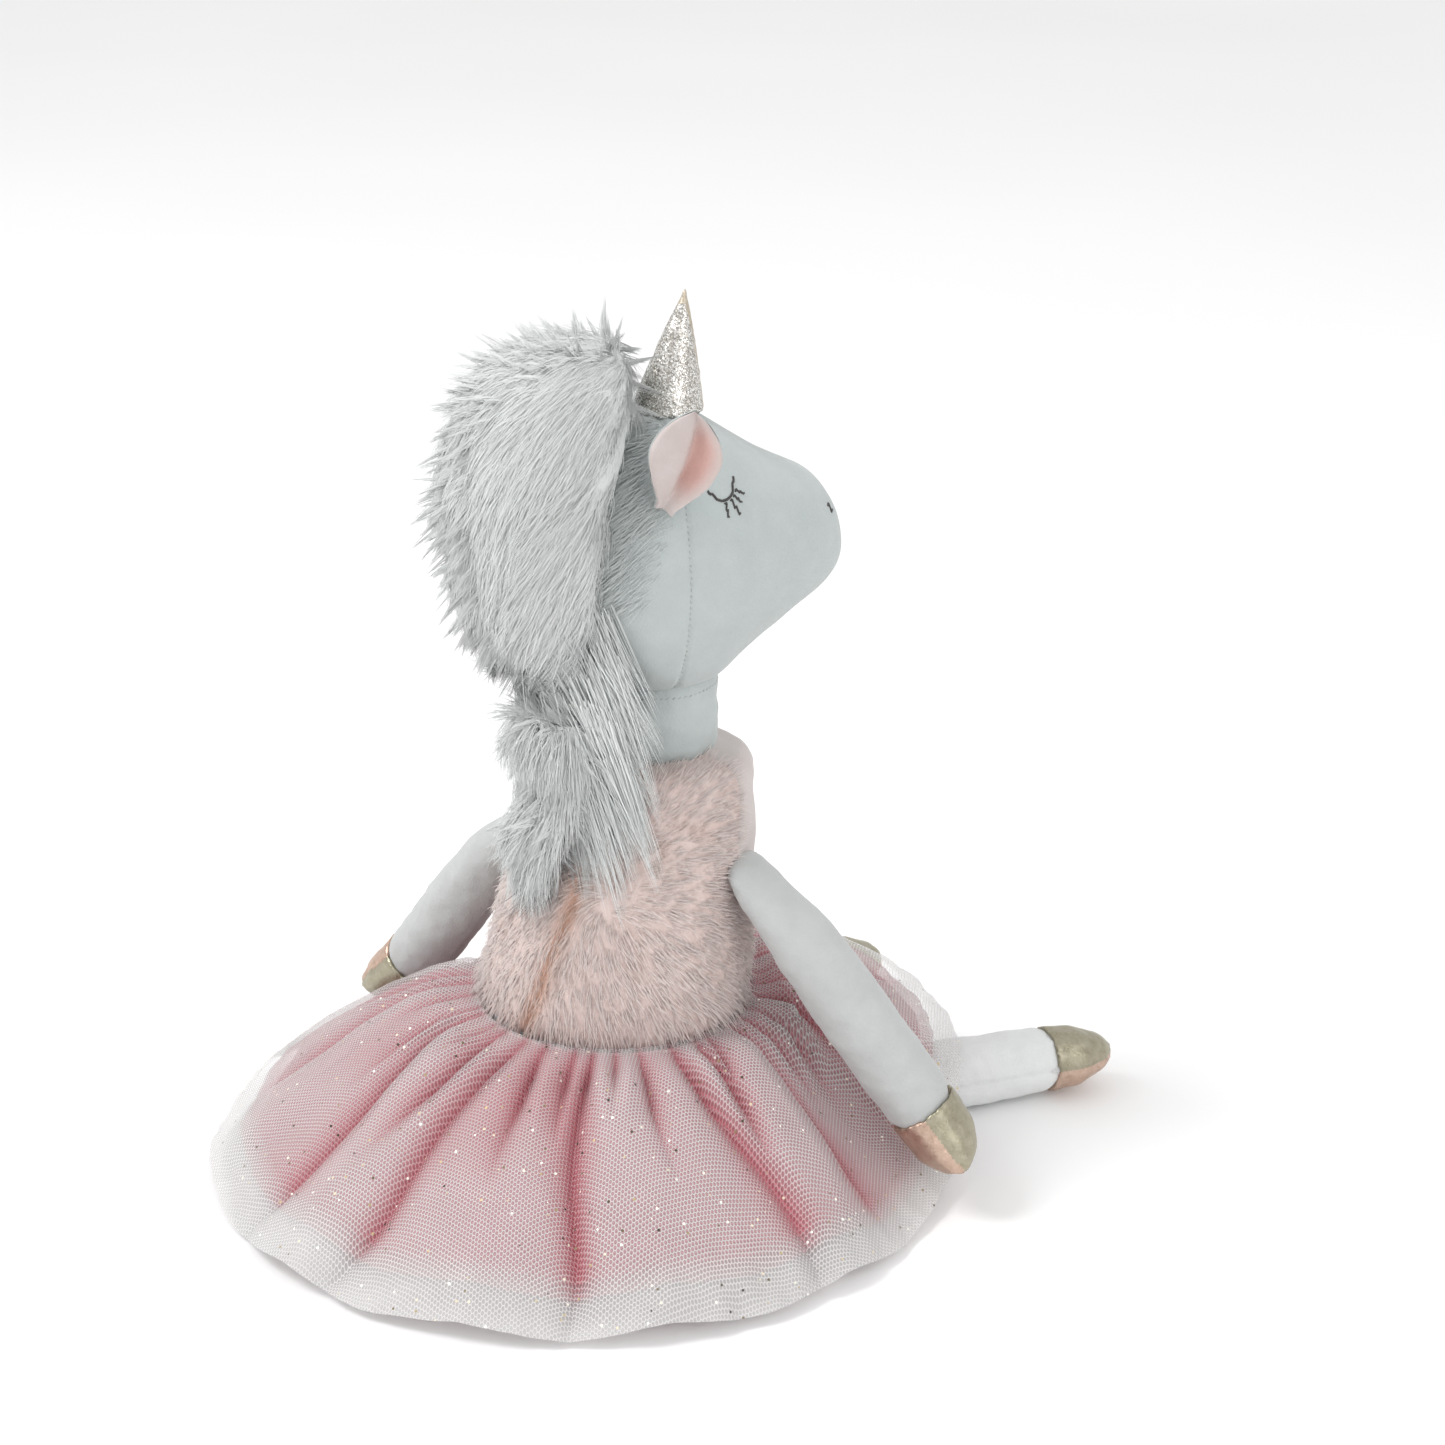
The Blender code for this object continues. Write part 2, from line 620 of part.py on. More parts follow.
def nape_rings(count):
    """Rings of the mane's tail, which hangs behind the neck and then down the bodice's back."""
    turn = math.radians(NAPE_TURN)
    back = Vector((math.sin(turn), math.cos(turn), 0.0))
    side = Vector((back.y, -back.x, 0.0))
    neck_axis = Vector((NECK_X, NECK_Y, 0.0))
    places = [(z, NECK_RADIUS + air + thick, thick, wide) for z, air, thick, wide in NAPE_NECK]
    for z, air, thick, wide in NAPE_BACK:
        surface = torso_point(min(z, TORSO_TOP_Z), 180.0 + NAPE_TURN) - neck_axis
        places.append((z, back.dot(surface) + air + thick, thick, wide))
    rings = []
    for z, distance, thick, wide in places:
        middle = neck_axis + back * distance + Vector((0.0, 0.0, z))
        rings.append([middle + back * (thick * math.cos(a)) + side * (wide * math.sin(a))
                      for a in (2 * math.pi * k / count for k in range(count))])
    return rings


def build_neck_mane(fur, neck):
    add_object("mane_nape", ring_body(nape_rings(12)), fur, neck)


# ---- limbs ----------------------------------------------------------------------------------------
def rolled(distance, y, z, roll):
    """A point across a limb, turned about the limb's length by its roll (degrees for each metre)."""
    turn = math.radians(roll * distance)
    return Vector((distance, y * math.cos(turn) - z * math.sin(turn), y * math.sin(turn) + z * math.cos(turn)))


def limb_ring(frame, distance, wide, deep, roll=0.0, count=14):
    """A ring across a limb: wide is its half size along the frame's Y, deep along its Z."""
    return [frame @ rolled(distance, wide * math.cos(a), deep * math.sin(a), roll)
            for a in (2 * math.pi * k / count for k in range(count))]


def half_panel(frame, stations, sign, seam_gap, roll=0.0):
    """Half of a limb's cover, above (+1) or below (-1) the plane of its seams."""
    steps = 7
    outer = []
    inner = []
    last = len(stations) - 1
    for k, (distance, wide, deep) in enumerate(stations):
        pull = CLOTH if k == last and deep < 3 * CLOTH else 0.0
        for grid, cut in ((outer, 0.0), (inner, CLOTH)):
            w = max(wide - cut, MIN_INNER)
            d = max(deep - cut, MIN_INNER)
            row = []
            for j in range(steps + 1):
                a = math.pi * j / steps
                row.append(frame @ rolled(distance - (pull if cut else 0.0), w * math.cos(a),
                                          sign * (seam_gap + d * math.sin(a)), roll))
            grid.append(row)
    return panel_body(outer, inner)


def limb_frame(origin, along, across):
    """Axes of a limb: X along it, Y close to the given direction across it."""
    x = along.normalized()
    z = x.cross(across).normalized()
    y = z.cross(x)
    return Matrix.Translation(origin) @ Matrix((x, y, z)).transposed().to_4x4()


ARM_SHAPE = ((0.13, 0.93, 0.58), (0.32, 0.97, 0.89), (0.61, 1.0, 1.0))    # place, width and depth
LEG_SHAPE = ((0.12, 0.73, 0.95), (0.30, 1.0, 1.0), (0.65, 1.0, 1.0))


def shoulder_pivot(side):
    return torso_point(SHOULDER_PIVOT_Z, -90.0 * side) + Vector((side * SHOULDER_CLEARANCE, 0.0, 0.0))


def arm_direction(name, side):
    """The arm leans out so far that the hoof's tip rests over the skirt."""
    reach = ARM_LENGTH + HAND_HOOF_LENGTH
    pivot = shoulder_pivot(side)
    forward = math.radians(ARM_FORWARD[name])
    low, high = 0.0, math.pi / 2
    for _ in range(40):
        lean = (low + high) / 2
        out = reach * math.sin(lean)
        along = Vector((side * out * math.cos(forward), -out * math.sin(forward), -reach * math.cos(lean)))
        tip = pivot + along
        if tip.z < skirt_height(tip.x, tip.y) + HAND_LIFT[name]:
            low = lean
        else:
            high = lean
    return along


def build_arm(name, side, plush, gold, filling_material):
    pivot = shoulder_pivot(side)
    shoulder = bpy.data.objects.new("shoulder_axis_" + name, None)
    shoulder.location = pivot
    bpy.context.scene.collection.objects.link(shoulder)
    frame = limb_frame(pivot, arm_direction(name, side), Vector((0.0, 1.0, 0.0)))

    cuff = ARM_RADIUS * 0.96
    shape = [(0.002, 0.82 * ARM_RADIUS, 0.26 * ARM_RADIUS)]
    shape += [(ARM_LENGTH * place, ARM_RADIUS * wide, ARM_RADIUS * deep) for place, wide, deep in ARM_SHAPE]
    shape.append((ARM_LENGTH - GAP / 2, cuff, cuff))
    roll = side * ARM_ROLL / ARM_LENGTH
    outer = [[frame @ Vector((-0.0012, 0.0, 0.0))]] + [limb_ring(frame, *s, roll) for s in shape]
    inner = [[frame @ Vector((0.0022, 0.0, 0.0))]]
    inner += [limb_ring(frame, max(d, 0.004), w - CLOTH, t - CLOTH, roll) for d, w, t in shape]
    add_object("arm_cover_" + name, cup_body(outer, inner), plush, shoulder)

    inset = CLOTH + GAP + FILLING_SLACK / 2
    inside = [[frame @ Vector((0.0055, 0.0, 0.0))]]
    inside += [limb_ring(frame, d, w - inset, t - inset, roll) for d, w, t in shape[1:]]
    hoof_end = ARM_LENGTH + HAND_HOOF_LENGTH
    wide_end = HAND_HOOF_HALF_WIDTH
    hoof = ((ARM_LENGTH + GAP / 2, cuff, cuff), (ARM_LENGTH + 0.6 * HAND_HOOF_LENGTH, wide_end, cuff * 0.92),
            (ARM_LENGTH + 0.9 * HAND_HOOF_LENGTH, wide_end, cuff * 0.62), (hoof_end, wide_end * 0.96, 0.0012))
    inside += [limb_ring(frame, d, w - inset, t - inset, roll) for d, w, t in hoof[:3]]
    add_object("arm_filling_" + name, ring_body(inside), filling_material, shoulder)
    for part, sign in (("outer", 1.0), ("inner", -1.0)):
        panel = half_panel(frame, hoof, sign, GAP / 2, roll)
        add_object(f"hand_hoof_{part}_{name}", panel, gold, shoulder)


def hip_pivot(side):
    z = LEG_RADIUS + GAP
    turn = math.radians(-HIP_ANGLE * side)
    outward = Vector((-math.sin(turn), -math.cos(turn), 0.0))
    return torso_point(z, -HIP_ANGLE * side) + outward * HIP_STANDOFF


def build_leg(name, side, plush, gold, filling_material):
    turn = math.radians(LEG_ANGLE[name])
    along = Vector((-math.sin(turn), -math.cos(turn), 0.0))
    pivot = hip_pivot(side)
    hip = bpy.data.objects.new("hip_axis_" + name, None)
    hip.location = pivot
    bpy.context.scene.collection.objects.link(hip)
    frame = limb_frame(pivot, along, Vector((-along.y, along.x, 0.0)))

    ankle = LEG_RADIUS * 0.93
    shape = [(0.0, 0.21 * LEG_RADIUS, 0.81 * LEG_RADIUS)]
    shape += [(LEG_LENGTH * place, LEG_RADIUS * wide, LEG_RADIUS * deep) for place, wide, deep in LEG_SHAPE]
    shape.append((LEG_LENGTH - GAP / 2, ankle, ankle))
    for part, sign in (("top", 1.0), ("bottom", -1.0)):
        add_object(f"leg_cover_{part}_{name}", half_panel(frame, shape, sign, GAP / 2), plush, hip)
    tip = LEG_LENGTH + FOOT_HOOF_LENGTH
    hoof = ((LEG_LENGTH + GAP / 2, ankle, ankle), (LEG_LENGTH + 0.45 * FOOT_HOOF_LENGTH, ankle, ankle * 0.86),
            (LEG_LENGTH + 0.80 * FOOT_HOOF_LENGTH, ankle * 0.66, ankle * 0.52), (tip, 0.0020, 0.0012))
    for part, sign in (("top", 1.0), ("bottom", -1.0)):
        add_object(f"foot_hoof_{part}_{name}", half_panel(frame, hoof, sign, GAP / 2), gold, hip)
    inset = CLOTH + GAP
    inside = [limb_ring(frame, max(d, 0.006), max(w - inset, 0.0008), t - inset) for d, w, t in shape]
    inside += [limb_ring(frame, d, w - inset, t - inset) for d, w, t in hoof[:3]]
    add_object("leg_filling_" + name, ring_body(inside), filling_material, hip)


# ---- skirt ----------------------------------------------------------------------------------------
def ramp(x):
    x = min(max(x, 0.0), 1.0)
    return x * x * (3.0 - 2.0 * x)


def skirt_arch(angle):
    """1 where the skirt passes over the legs, 0 where its hem lies on the floor."""
    rising = ramp((angle - (ARCH_FROM - ARCH_RAMP)) / ARCH_RAMP)
    falling = ramp(((ARCH_TO + ARCH_RAMP) - angle) / ARCH_RAMP)
    return rising * falling


def arm_dent(angle):
    """1 under the middle of either arm, 0 away from them."""
    return max(ramp(1.0 - abs(angle - middle) / ARM_DENT_SPREAD) for middle in ARM_DENT_ANGLES)


SKIRT_START = WAIST_RADIUS + 2 * (CLOTH + GAP)    # radius where the skirt leaves the waist
SKIRT_TOP_Z = WAIST_Z + 0.001


def skirt_hem_radius(angle):
    return SKIRT_RADIUS + SKIRT_SPILL * math.cos(math.radians(angle - SKIRT_SPILL_ANGLE))


def skirt_z(angle, share):
    """Height of the outer layer; share runs from 0 at the waist to 1 at the outer hem."""
    arch = skirt_arch(angle)
    wave = SKIRT_WAVE * (1.0 - math.cos(SKIRT_RUFFLES * math.radians(angle))) / 2
    hem_z = HEM_Z + (ARCH_Z - HEM_Z) * arch + wave * (1.0 - arch)
    z = SKIRT_TOP_Z - (SKIRT_TOP_Z - hem_z) * share ** SKIRT_CURVE
    return z - ARM_DENT * arm_dent(angle) * math.sin(math.pi * share)


def skirt_height(x, y):
    """Height of the skirt's surface over a place on the floor."""
    angle = math.degrees(math.atan2(-x, -y))
    share = (math.hypot(x, y) - SKIRT_START) / (skirt_hem_radius(angle) - SKIRT_START)
    return skirt_z(angle, min(max(share, 0.0), 1.0))


def skirt_point(angle, share, layer, below):
    turn = math.radians(angle)
    radius = SKIRT_START + (skirt_hem_radius(angle) - SKIRT_START) * share
    z = skirt_z(angle, share) - layer * LAYER_STEP - below
    return Vector((-radius * math.sin(turn), -radius * math.cos(turn), z))


def build_skirt_layer(name, layer, reach, material):
    """All layers share their rows, so that they stay parallel."""
    count = SKIRT_RUFFLES * 4
    outer = []
    inner = []
    rows = [SKIRT_ROW * k for k in range(round(1.0 / SKIRT_ROW)) if SKIRT_ROW * k < reach - 0.01]
    for share in rows + [reach]:
        angles = [360.0 * k / count - 180.0 for k in range(count)]
        outer.append([skirt_point(a, share, layer, 0.0) for a in angles])
        inner.append([skirt_point(a, share, layer, TULLE) for a in angles])
    add_object(name, tube_body(outer, inner), material)


def build_skirt(tulle, pink_tulle, satin, elastic):
    build_skirt_layer("tutu_glitter_tulle", 0, 1.0, tulle)
    build_skirt_layer("tutu_pink_tulle", 1, UNDERSKIRT_REACH, pink_tulle)
    build_skirt_layer("tutu_satin_lining", 2, LINING_REACH, satin)
    z_levels = (WAIST_Z - WAISTBAND_HEIGHT, WAIST_Z - GAP)
    outer = [torso_ring(z, -(CLOTH + GAP)) for z in z_levels]
    inner = [torso_ring(z, -GAP) for z in z_levels]
    add_object("waist_elastic", tube_body(outer, inner), elastic)


# ---- assembly -------------------------------------------------------------------------------------
def main():
    for thing in list(bpy.data.objects):
        bpy.data.objects.remove(thing, do_unlink=True)

    white_plush = make_material("white_plush", (0.86, 0.87, 0.87), 0.95)
    pink_plush = make_material("ear_plush", (0.90, 0.66, 0.62), 0.95)
    pink_fur = make_material("bodice_fur", (0.86, 0.68, 0.64), 0.90)
    white_fur = make_material("mane_fur", (0.88, 0.89, 0.88), 0.85)
    glitter = make_material("horn_glitter", (0.66, 0.63, 0.58), 0.35, 0.9)
    gold = make_material("hoof_gold", (0.72, 0.62, 0.46), 0.35, 1.0)
    thread = make_material("dark_thread", (0.12, 0.11, 0.10), 0.70)
    filling = make_material("polyester_filling", (0.90, 0.90, 0.90), 1.0)
    bag_cloth = make_material("bag_cloth", (0.80, 0.80, 0.78), 0.90)
    tulle = make_material("glitter_tulle", (0.90, 0.82, 0.82), 0.55)
    pink_tulle = make_material("pink_tulle", (0.90, 0.52, 0.54), 0.70)
    satin = make_material("pink_satin", (0.88, 0.48, 0.50), 0.45)
    elastic = make_material("pink_elastic", (0.86, 0.58, 0.58), 0.80)

    build_lower_body(white_plush, bag_cloth, filling)
    build_bodice(pink_fur)
    build_skirt(tulle, pink_tulle, satin, elastic)

    neck = bpy.data.objects.new("neck_axis", None)
    neck.location = (NECK_X, NECK_Y, NECK_PIVOT_Z)
    head = bpy.data.objects.new("head_axis", None)
    head.location = (NECK_X, NECK_Y, NECK_TOP_Z)
    for empty in (neck, head):
        bpy.context.scene.collection.objects.link(empty)
    cover = cup_body(neck_rings(0.0, NECK_TOP_Z), neck_rings(CLOTH, NECK_TOP_Z))
    add_object("neck_cover", cover, white_plush, neck)
    inside = neck_rings(CLOTH + GAP, NECK_TOP_Z - GAP)
    add_object("neck_filling", ring_body(inside), filling, neck)
    build_neck_mane(white_fur, neck)

    build_head(white_plush, filling, head)
    build_horn(glitter, filling, head)
    build_ears(white_plush, pink_plush)
    build_face_stitching(thread, head)
    build_mane_crown(white_fur, head)

    for name, side in (("left", 1.0), ("right", -1.0)):
        build_arm(name, side, white_plush, gold, filling)
        build_leg(name, side, white_plush, gold, filling)


main()
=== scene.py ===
"""Looks of the seated plush unicorn: velour, long fur, lamé hooves and a gathered tulle skirt.

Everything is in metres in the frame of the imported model: +Z up, the chest faces -Y, +X is the doll's left.
Angles around the body run from straight ahead (-Y) towards the doll's right (-X).
"""

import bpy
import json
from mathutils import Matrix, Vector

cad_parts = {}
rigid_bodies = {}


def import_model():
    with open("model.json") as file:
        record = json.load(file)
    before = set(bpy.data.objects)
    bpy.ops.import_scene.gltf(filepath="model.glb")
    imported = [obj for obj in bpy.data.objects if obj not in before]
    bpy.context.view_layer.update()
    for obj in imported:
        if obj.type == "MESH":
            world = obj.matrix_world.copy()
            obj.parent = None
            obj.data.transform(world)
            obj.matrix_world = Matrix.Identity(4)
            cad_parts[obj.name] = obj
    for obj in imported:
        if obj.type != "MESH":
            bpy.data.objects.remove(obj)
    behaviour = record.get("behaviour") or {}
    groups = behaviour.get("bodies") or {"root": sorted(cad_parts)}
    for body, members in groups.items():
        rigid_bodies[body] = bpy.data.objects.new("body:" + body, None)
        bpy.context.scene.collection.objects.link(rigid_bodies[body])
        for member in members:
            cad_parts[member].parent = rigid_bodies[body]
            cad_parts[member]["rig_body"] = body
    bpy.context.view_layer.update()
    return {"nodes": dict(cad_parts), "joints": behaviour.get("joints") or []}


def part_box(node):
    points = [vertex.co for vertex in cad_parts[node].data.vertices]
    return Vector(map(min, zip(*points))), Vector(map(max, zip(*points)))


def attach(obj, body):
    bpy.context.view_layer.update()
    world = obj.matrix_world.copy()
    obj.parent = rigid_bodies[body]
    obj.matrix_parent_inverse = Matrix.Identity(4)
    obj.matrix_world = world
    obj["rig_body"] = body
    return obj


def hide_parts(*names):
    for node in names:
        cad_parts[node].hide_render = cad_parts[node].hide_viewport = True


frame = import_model()

import json
import math

import bmesh
import bpy
import numpy as np
from mathutils import Matrix, Vector, noise
from mathutils.bvhtree import BVHTree
from mathutils.kdtree import KDTree

SEED = 11
NODES = frame["nodes"]
VIEW_TURN = math.radians(215.0)     # where the camera stands around the doll
VIEW_DIP = math.radians(20.75)
TO_VIEW = Vector((math.sin(VIEW_TURN), -math.cos(VIEW_TURN), 0.0))
VIEW_RIGHT = Vector((math.cos(VIEW_TURN), math.sin(VIEW_TURN), 0.0))
SIDES = ("left", "right")


# ---- places read from the frame --------------------------------------------------------------------
def joint_place(name):
    for joint in frame["joints"]:
        if joint["name"] == name:
            return Vector(joint["pos_m"]), Vector(joint["axis"])
    raise KeyError(name)


def mesh_points(thing):
    points = np.empty(len(thing.data.vertices) * 3)
    thing.data.vertices.foreach_get("co", points)
    return points.reshape(-1, 3)


def set_points(thing, points):
    thing.data.vertices.foreach_set("co", np.ascontiguousarray(points, np.float32).ravel())
    thing.data.update()


def normals_of(thing):
    normals = np.empty(len(thing.data.vertices) * 3, np.float32)
    thing.data.vertex_normals.foreach_get("vector", normals)
    return normals.reshape(-1, 3).astype(float)


def noise_field(points, size, seed=0.0, octaves=2):
    """Smooth noise between about -1 and 1 at points, with blobs of the given size in metres."""
    shift = Vector((seed * 7.3, seed * 3.1, seed * 5.7))
    return np.array([noise.fractal(Vector(p) / size + shift, 1.0, 2.0, octaves) for p in points])


# ---- mesh helpers ----------------------------------------------------------------------------------
def link(thing):
    bpy.context.scene.collection.objects.link(thing)
    return thing


def mesh_object(name, vertices, faces, material, smooth=True):
    mesh = bpy.data.meshes.new(name)
    mesh.from_pydata([tuple(v) for v in vertices], [], [tuple(f) for f in faces])
    mesh.update()
    if smooth:
        mesh.shade_smooth()
    mesh.materials.append(material)
    return link(bpy.data.objects.new(name, mesh))


def built_object(name, builder, material=None, smooth=False):
    """Turns a finished bmesh into an object."""
    mesh = bpy.data.meshes.new(name)
    builder.to_mesh(mesh)
    builder.free()
    mesh.materials.clear()
    if material is not None:
        mesh.materials.append(material)
    if smooth:
        mesh.shade_smooth()
    return link(bpy.data.objects.new(name, mesh))


def ring_faces(rows, around, closed_rows=False):
    """Quads of a grid whose columns go round, and whose rows do too where closed_rows is true."""
    faces = []
    for i in range(rows if closed_rows else rows - 1):
        for j in range(around):
            n, q = (i + 1) % rows, (j + 1) % around
            faces.append((i * around + j, n * around + j, n * around + q, i * around + q))
    return faces


def set_attribute(thing, name, values):
    attribute = thing.data.attributes.new(name, "FLOAT", "POINT")
    attribute.data.foreach_set("value", np.asarray(values, np.float32).ravel())


def finish_piece(thing, body, replaced=()):
    """Says which body a piece moves with, and hides the CAD nodes that it stands for."""
    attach(thing, body)
    if replaced:
        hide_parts(*replaced)


def apply_modifiers(thing):
    depsgraph = bpy.context.evaluated_depsgraph_get()
    made = bpy.data.meshes.new_from_object(thing.evaluated_get(depsgraph))
    thing.modifiers.clear()
    old = thing.data
    thing.data = made
    bpy.data.meshes.remove(old)
    thing.data.name = thing.name
    return thing


def joined_copy(name, nodes, material):
    """One object made of copies of CAD nodes."""
    builder = bmesh.new()
    for node in nodes:
        builder.from_mesh(node.data)
    return built_object(name, builder, material)


def remesh(thing, voxel, smooth_steps=0, smooth_share=0.5):
    modifier = thing.modifiers.new("remesh", "REMESH")
    modifier.mode = "VOXEL"
    modifier.voxel_size = voxel
    if smooth_steps:
        soft = thing.modifiers.new("smooth", "SMOOTH")
        soft.iterations = smooth_steps
        soft.factor = smooth_share
    apply_modifiers(thing)
    thing.data.shade_smooth()
    return thing


def outer_shell(thing):
    """Keeps only the largest connected surface, so that a hollow's inner wall goes."""
    builder = bmesh.new()
    builder.from_mesh(thing.data)
    builder.verts.ensure_lookup_table()
    seen = set()
    groups = []
    for start in builder.verts:
        if start.index in seen:
            continue
        group = []
        queue = [start]
        seen.add(start.index)
        while queue:
            vertex = queue.pop()
            group.append(vertex)
            for edge in vertex.link_edges:
                other = edge.other_vert(vertex)
                if other.index not in seen:
                    seen.add(other.index)
                    queue.append(other)
        groups.append(group)
    groups.sort(key=lambda group: -max((v.co - group[0].co).length for v in group) - len(group) * 1e-6)
    for group in groups[1:]:
        bmesh.ops.delete(builder, geom=group, context="VERTS")
    builder.to_mesh(thing.data)
    builder.free()
    return thing


def solid_copy(name, nodes, material, fine, coarse, smooth_steps=3):
    """Copies of thin CAD shells as one filled solid."""
    solid = joined_copy(name, nodes, material)
    remesh(solid, fine)
    outer_shell(solid)
    return remesh(solid, coarse, smooth_steps)


def subdivide(thing, levels=1):
    modifier = thing.modifiers.new("subdivision", "SUBSURF")
    modifier.levels = levels
    modifier.render_levels = levels
    apply_modifiers(thing)
    thing.data.shade_smooth()
    return thing


def stuff(thing, pressure=4.0, frames=20, cap=0.003, pins=None):
    """Swells a closed mesh as filling does, with Blender's cloth, and caps how far a point may move."""
    before = mesh_points(thing)
    if pins is not None:
        group = thing.vertex_groups.new(name="pins")
        for index, weight in enumerate(pins(before)):
            if weight > 0.0:
                group.add([index], float(weight), "REPLACE")
    modifier = thing.modifiers.new("cloth", "CLOTH")
    settings = modifier.settings
    settings.use_pressure = True
    settings.uniform_pressure_force = pressure
    settings.effector_weights.gravity = 0.0
    settings.tension_stiffness = 12.0
    settings.compression_stiffness = 6.0
    settings.bending_stiffness = 0.4
    modifier.collision_settings.use_collision = False
    if pins is not None:
        settings.vertex_group_mass = "pins"
    scene = bpy.context.scene
    for number in range(1, frames + 1):
        scene.frame_set(number)
    apply_modifiers(thing)
    scene.frame_set(1)
    after = mesh_points(thing)
    move = after - before
    length = np.linalg.norm(move, axis=1, keepdims=True)
    move *= np.minimum(1.0, cap / np.maximum(length, 1e-9))
    set_points(thing, before + move)
    thing.vertex_groups.clear()
    return thing


def push(thing, amount):
    """Moves each point along its normal."""
    points = mesh_points(thing)
    set_points(thing, points + normals_of(thing) * np.asarray(amount)[:, None])
    return thing


def groove(distance, width=0.0009):
    """1 in the middle of a seam, 0 away from it, for signed distances to its line."""
    return np.exp(-(np.asarray(distance) / width) ** 2)


def surface_tree(*things):
    """A search tree over the world surface of several objects."""
    vertices = []
    faces = []
    for thing in things:
        base = len(vertices)
        vertices += [thing.matrix_world @ v.co for v in thing.data.vertices]
        faces += [[base + k for k in p.vertices] for p in thing.data.polygons]
    return BVHTree.FromPolygons(vertices, faces)


# ---- material helpers ------------------------------------------------------------------------------
class Nodes:
    """A material under construction, with short calls for the nodes that it needs."""

    def __init__(self, name, roughness=0.8, metallic=0.0, colour=(0.8, 0.8, 0.8)):
        self.material = bpy.data.materials.new(name)
        self.material.use_nodes = True
        self.tree = self.material.node_tree
        self.shader = self.tree.nodes["Principled BSDF"]
        self.output = self.tree.nodes["Material Output"]
        self.set(Roughness=roughness, Metallic=metallic)
        self.shader.inputs["Base Color"].default_value = (*colour, 1.0)
        self.place = self.tree.nodes.new("ShaderNodeTexCoord").outputs["Object"]

    def set(self, **values):
        for name, value in values.items():
            self.shader.inputs[name.replace("_", " ")].default_value = value

    def join(self, source, target):
        self.tree.links.new(source, target)

    def math(self, operation, a, b=0.0, c=None, clamp=False):
        node = self.tree.nodes.new("ShaderNodeMath")
        node.operation = operation
        node.use_clamp = clamp
        for number, value in enumerate((a, b, c)):
            if value is None:
                continue
            if isinstance(value, (int, float)):
                node.inputs[number].default_value = value
            else:
                self.join(value, node.inputs[number])
        return node.outputs[0]

    def noise(self, size, detail=3.0, roughness=0.55, place=None):
        node = self.tree.nodes.new("ShaderNodeTexNoise")
        node.inputs["Scale"].default_value = 1.0 / size
        node.inputs["Detail"].default_value = detail
        node.inputs["Roughness"].default_value = roughness
        self.join(place or self.place, node.inputs["Vector"])
        return node.outputs["Fac"]

    def voronoi(self, size, output="Color", feature="F1"):
        node = self.tree.nodes.new("ShaderNodeTexVoronoi")
        node.feature = feature
        node.inputs["Scale"].default_value = 1.0 / size
        self.join(self.place, node.inputs["Vector"])
        return node.outputs[output]

    def ramp(self, factor, stops):
        """Colours at places between 0 and 1."""
        node = self.tree.nodes.new("ShaderNodeValToRGB")
        elements = node.color_ramp.elements
        while len(elements) < len(stops):
            elements.new(0.5)
        for element, (place, colour) in zip(elements, stops):
            element.position = place
            element.color = (*colour, 1.0)
        self.join(factor, node.inputs["Fac"])
        return node.outputs["Color"]

    def steps(self, factor, low, high, start=0.0, end=1.0):
        node = self.tree.nodes.new("ShaderNodeMapRange")
        node.inputs["From Min"].default_value = low
        node.inputs["From Max"].default_value = high
        node.inputs["To Min"].default_value = start
        node.inputs["To Max"].default_value = end
        self.join(factor, node.inputs["Value"])
        return node.outputs["Result"]

    def mix(self, factor, a, b):
        node = self.tree.nodes.new("ShaderNodeMix")
        node.data_type = "RGBA"
        for socket, value in ((node.inputs[0], factor), (node.inputs[6], a), (node.inputs[7], b)):
            if isinstance(value, tuple):
                socket.default_value = (*value, 1.0)
            elif isinstance(value, (int, float)):
                socket.default_value = value
            else:
                self.join(value, socket)
        return node.outputs[2]

    def bump(self, height, distance, strength=1.0, under=None):
        node = self.tree.nodes.new("ShaderNodeBump")
        node.inputs["Distance"].default_value = distance
        node.inputs["Strength"].default_value = strength
        self.join(height, node.inputs["Height"])
        if under is not None:
            self.join(under, node.inputs["Normal"])
        return node.outputs["Normal"]

    def attribute(self, name):
        node = self.tree.nodes.new("ShaderNodeAttribute")
        node.attribute_name = name
        return node.outputs["Fac"]

    def finish(self, colour=None, normal=None, roughness=None, alpha=None):
        sockets = {"Base Color": colour, "Normal": normal, "Roughness": roughness, "Alpha": alpha}
        for name, value in sockets.items():
            if value is not None:
                self.join(value, self.shader.inputs[name])
        return self.material


def velour(name, colour, shade, pile=0.0007, deep=None):
    """Short soft plush: mottled by the lie of its pile, with a sheen; deep, where given, is painted shade mixed in
    by the shade attribute.
    """
    m = Nodes(name, roughness=0.9)
    m.set(Sheen_Weight=0.35, Sheen_Roughness=0.45, Specular_IOR_Level=0.2)
    lie = m.noise(0.009, 3.0, 0.6)
    fine = m.noise(pile, 2.0, 0.7)
    patch = m.steps(lie, 0.3, 0.7)
    base = m.mix(patch, shade, colour)
    grain = m.steps(fine, 0.25, 0.75, 0.0, 0.30)
    base = m.mix(grain, base, tuple(c * 0.93 for c in shade))
    # deep: painted shade, mixed in where the shade attribute is set
    if deep is not None:
        base = m.mix(m.attribute("shade"), base, deep)
    normal = m.bump(fine, 0.0004, 0.55, m.bump(lie, 0.0008, 0.35))
    return m.finish(base, normal, m.steps(fine, 0.2, 0.8, 0.82, 0.98))


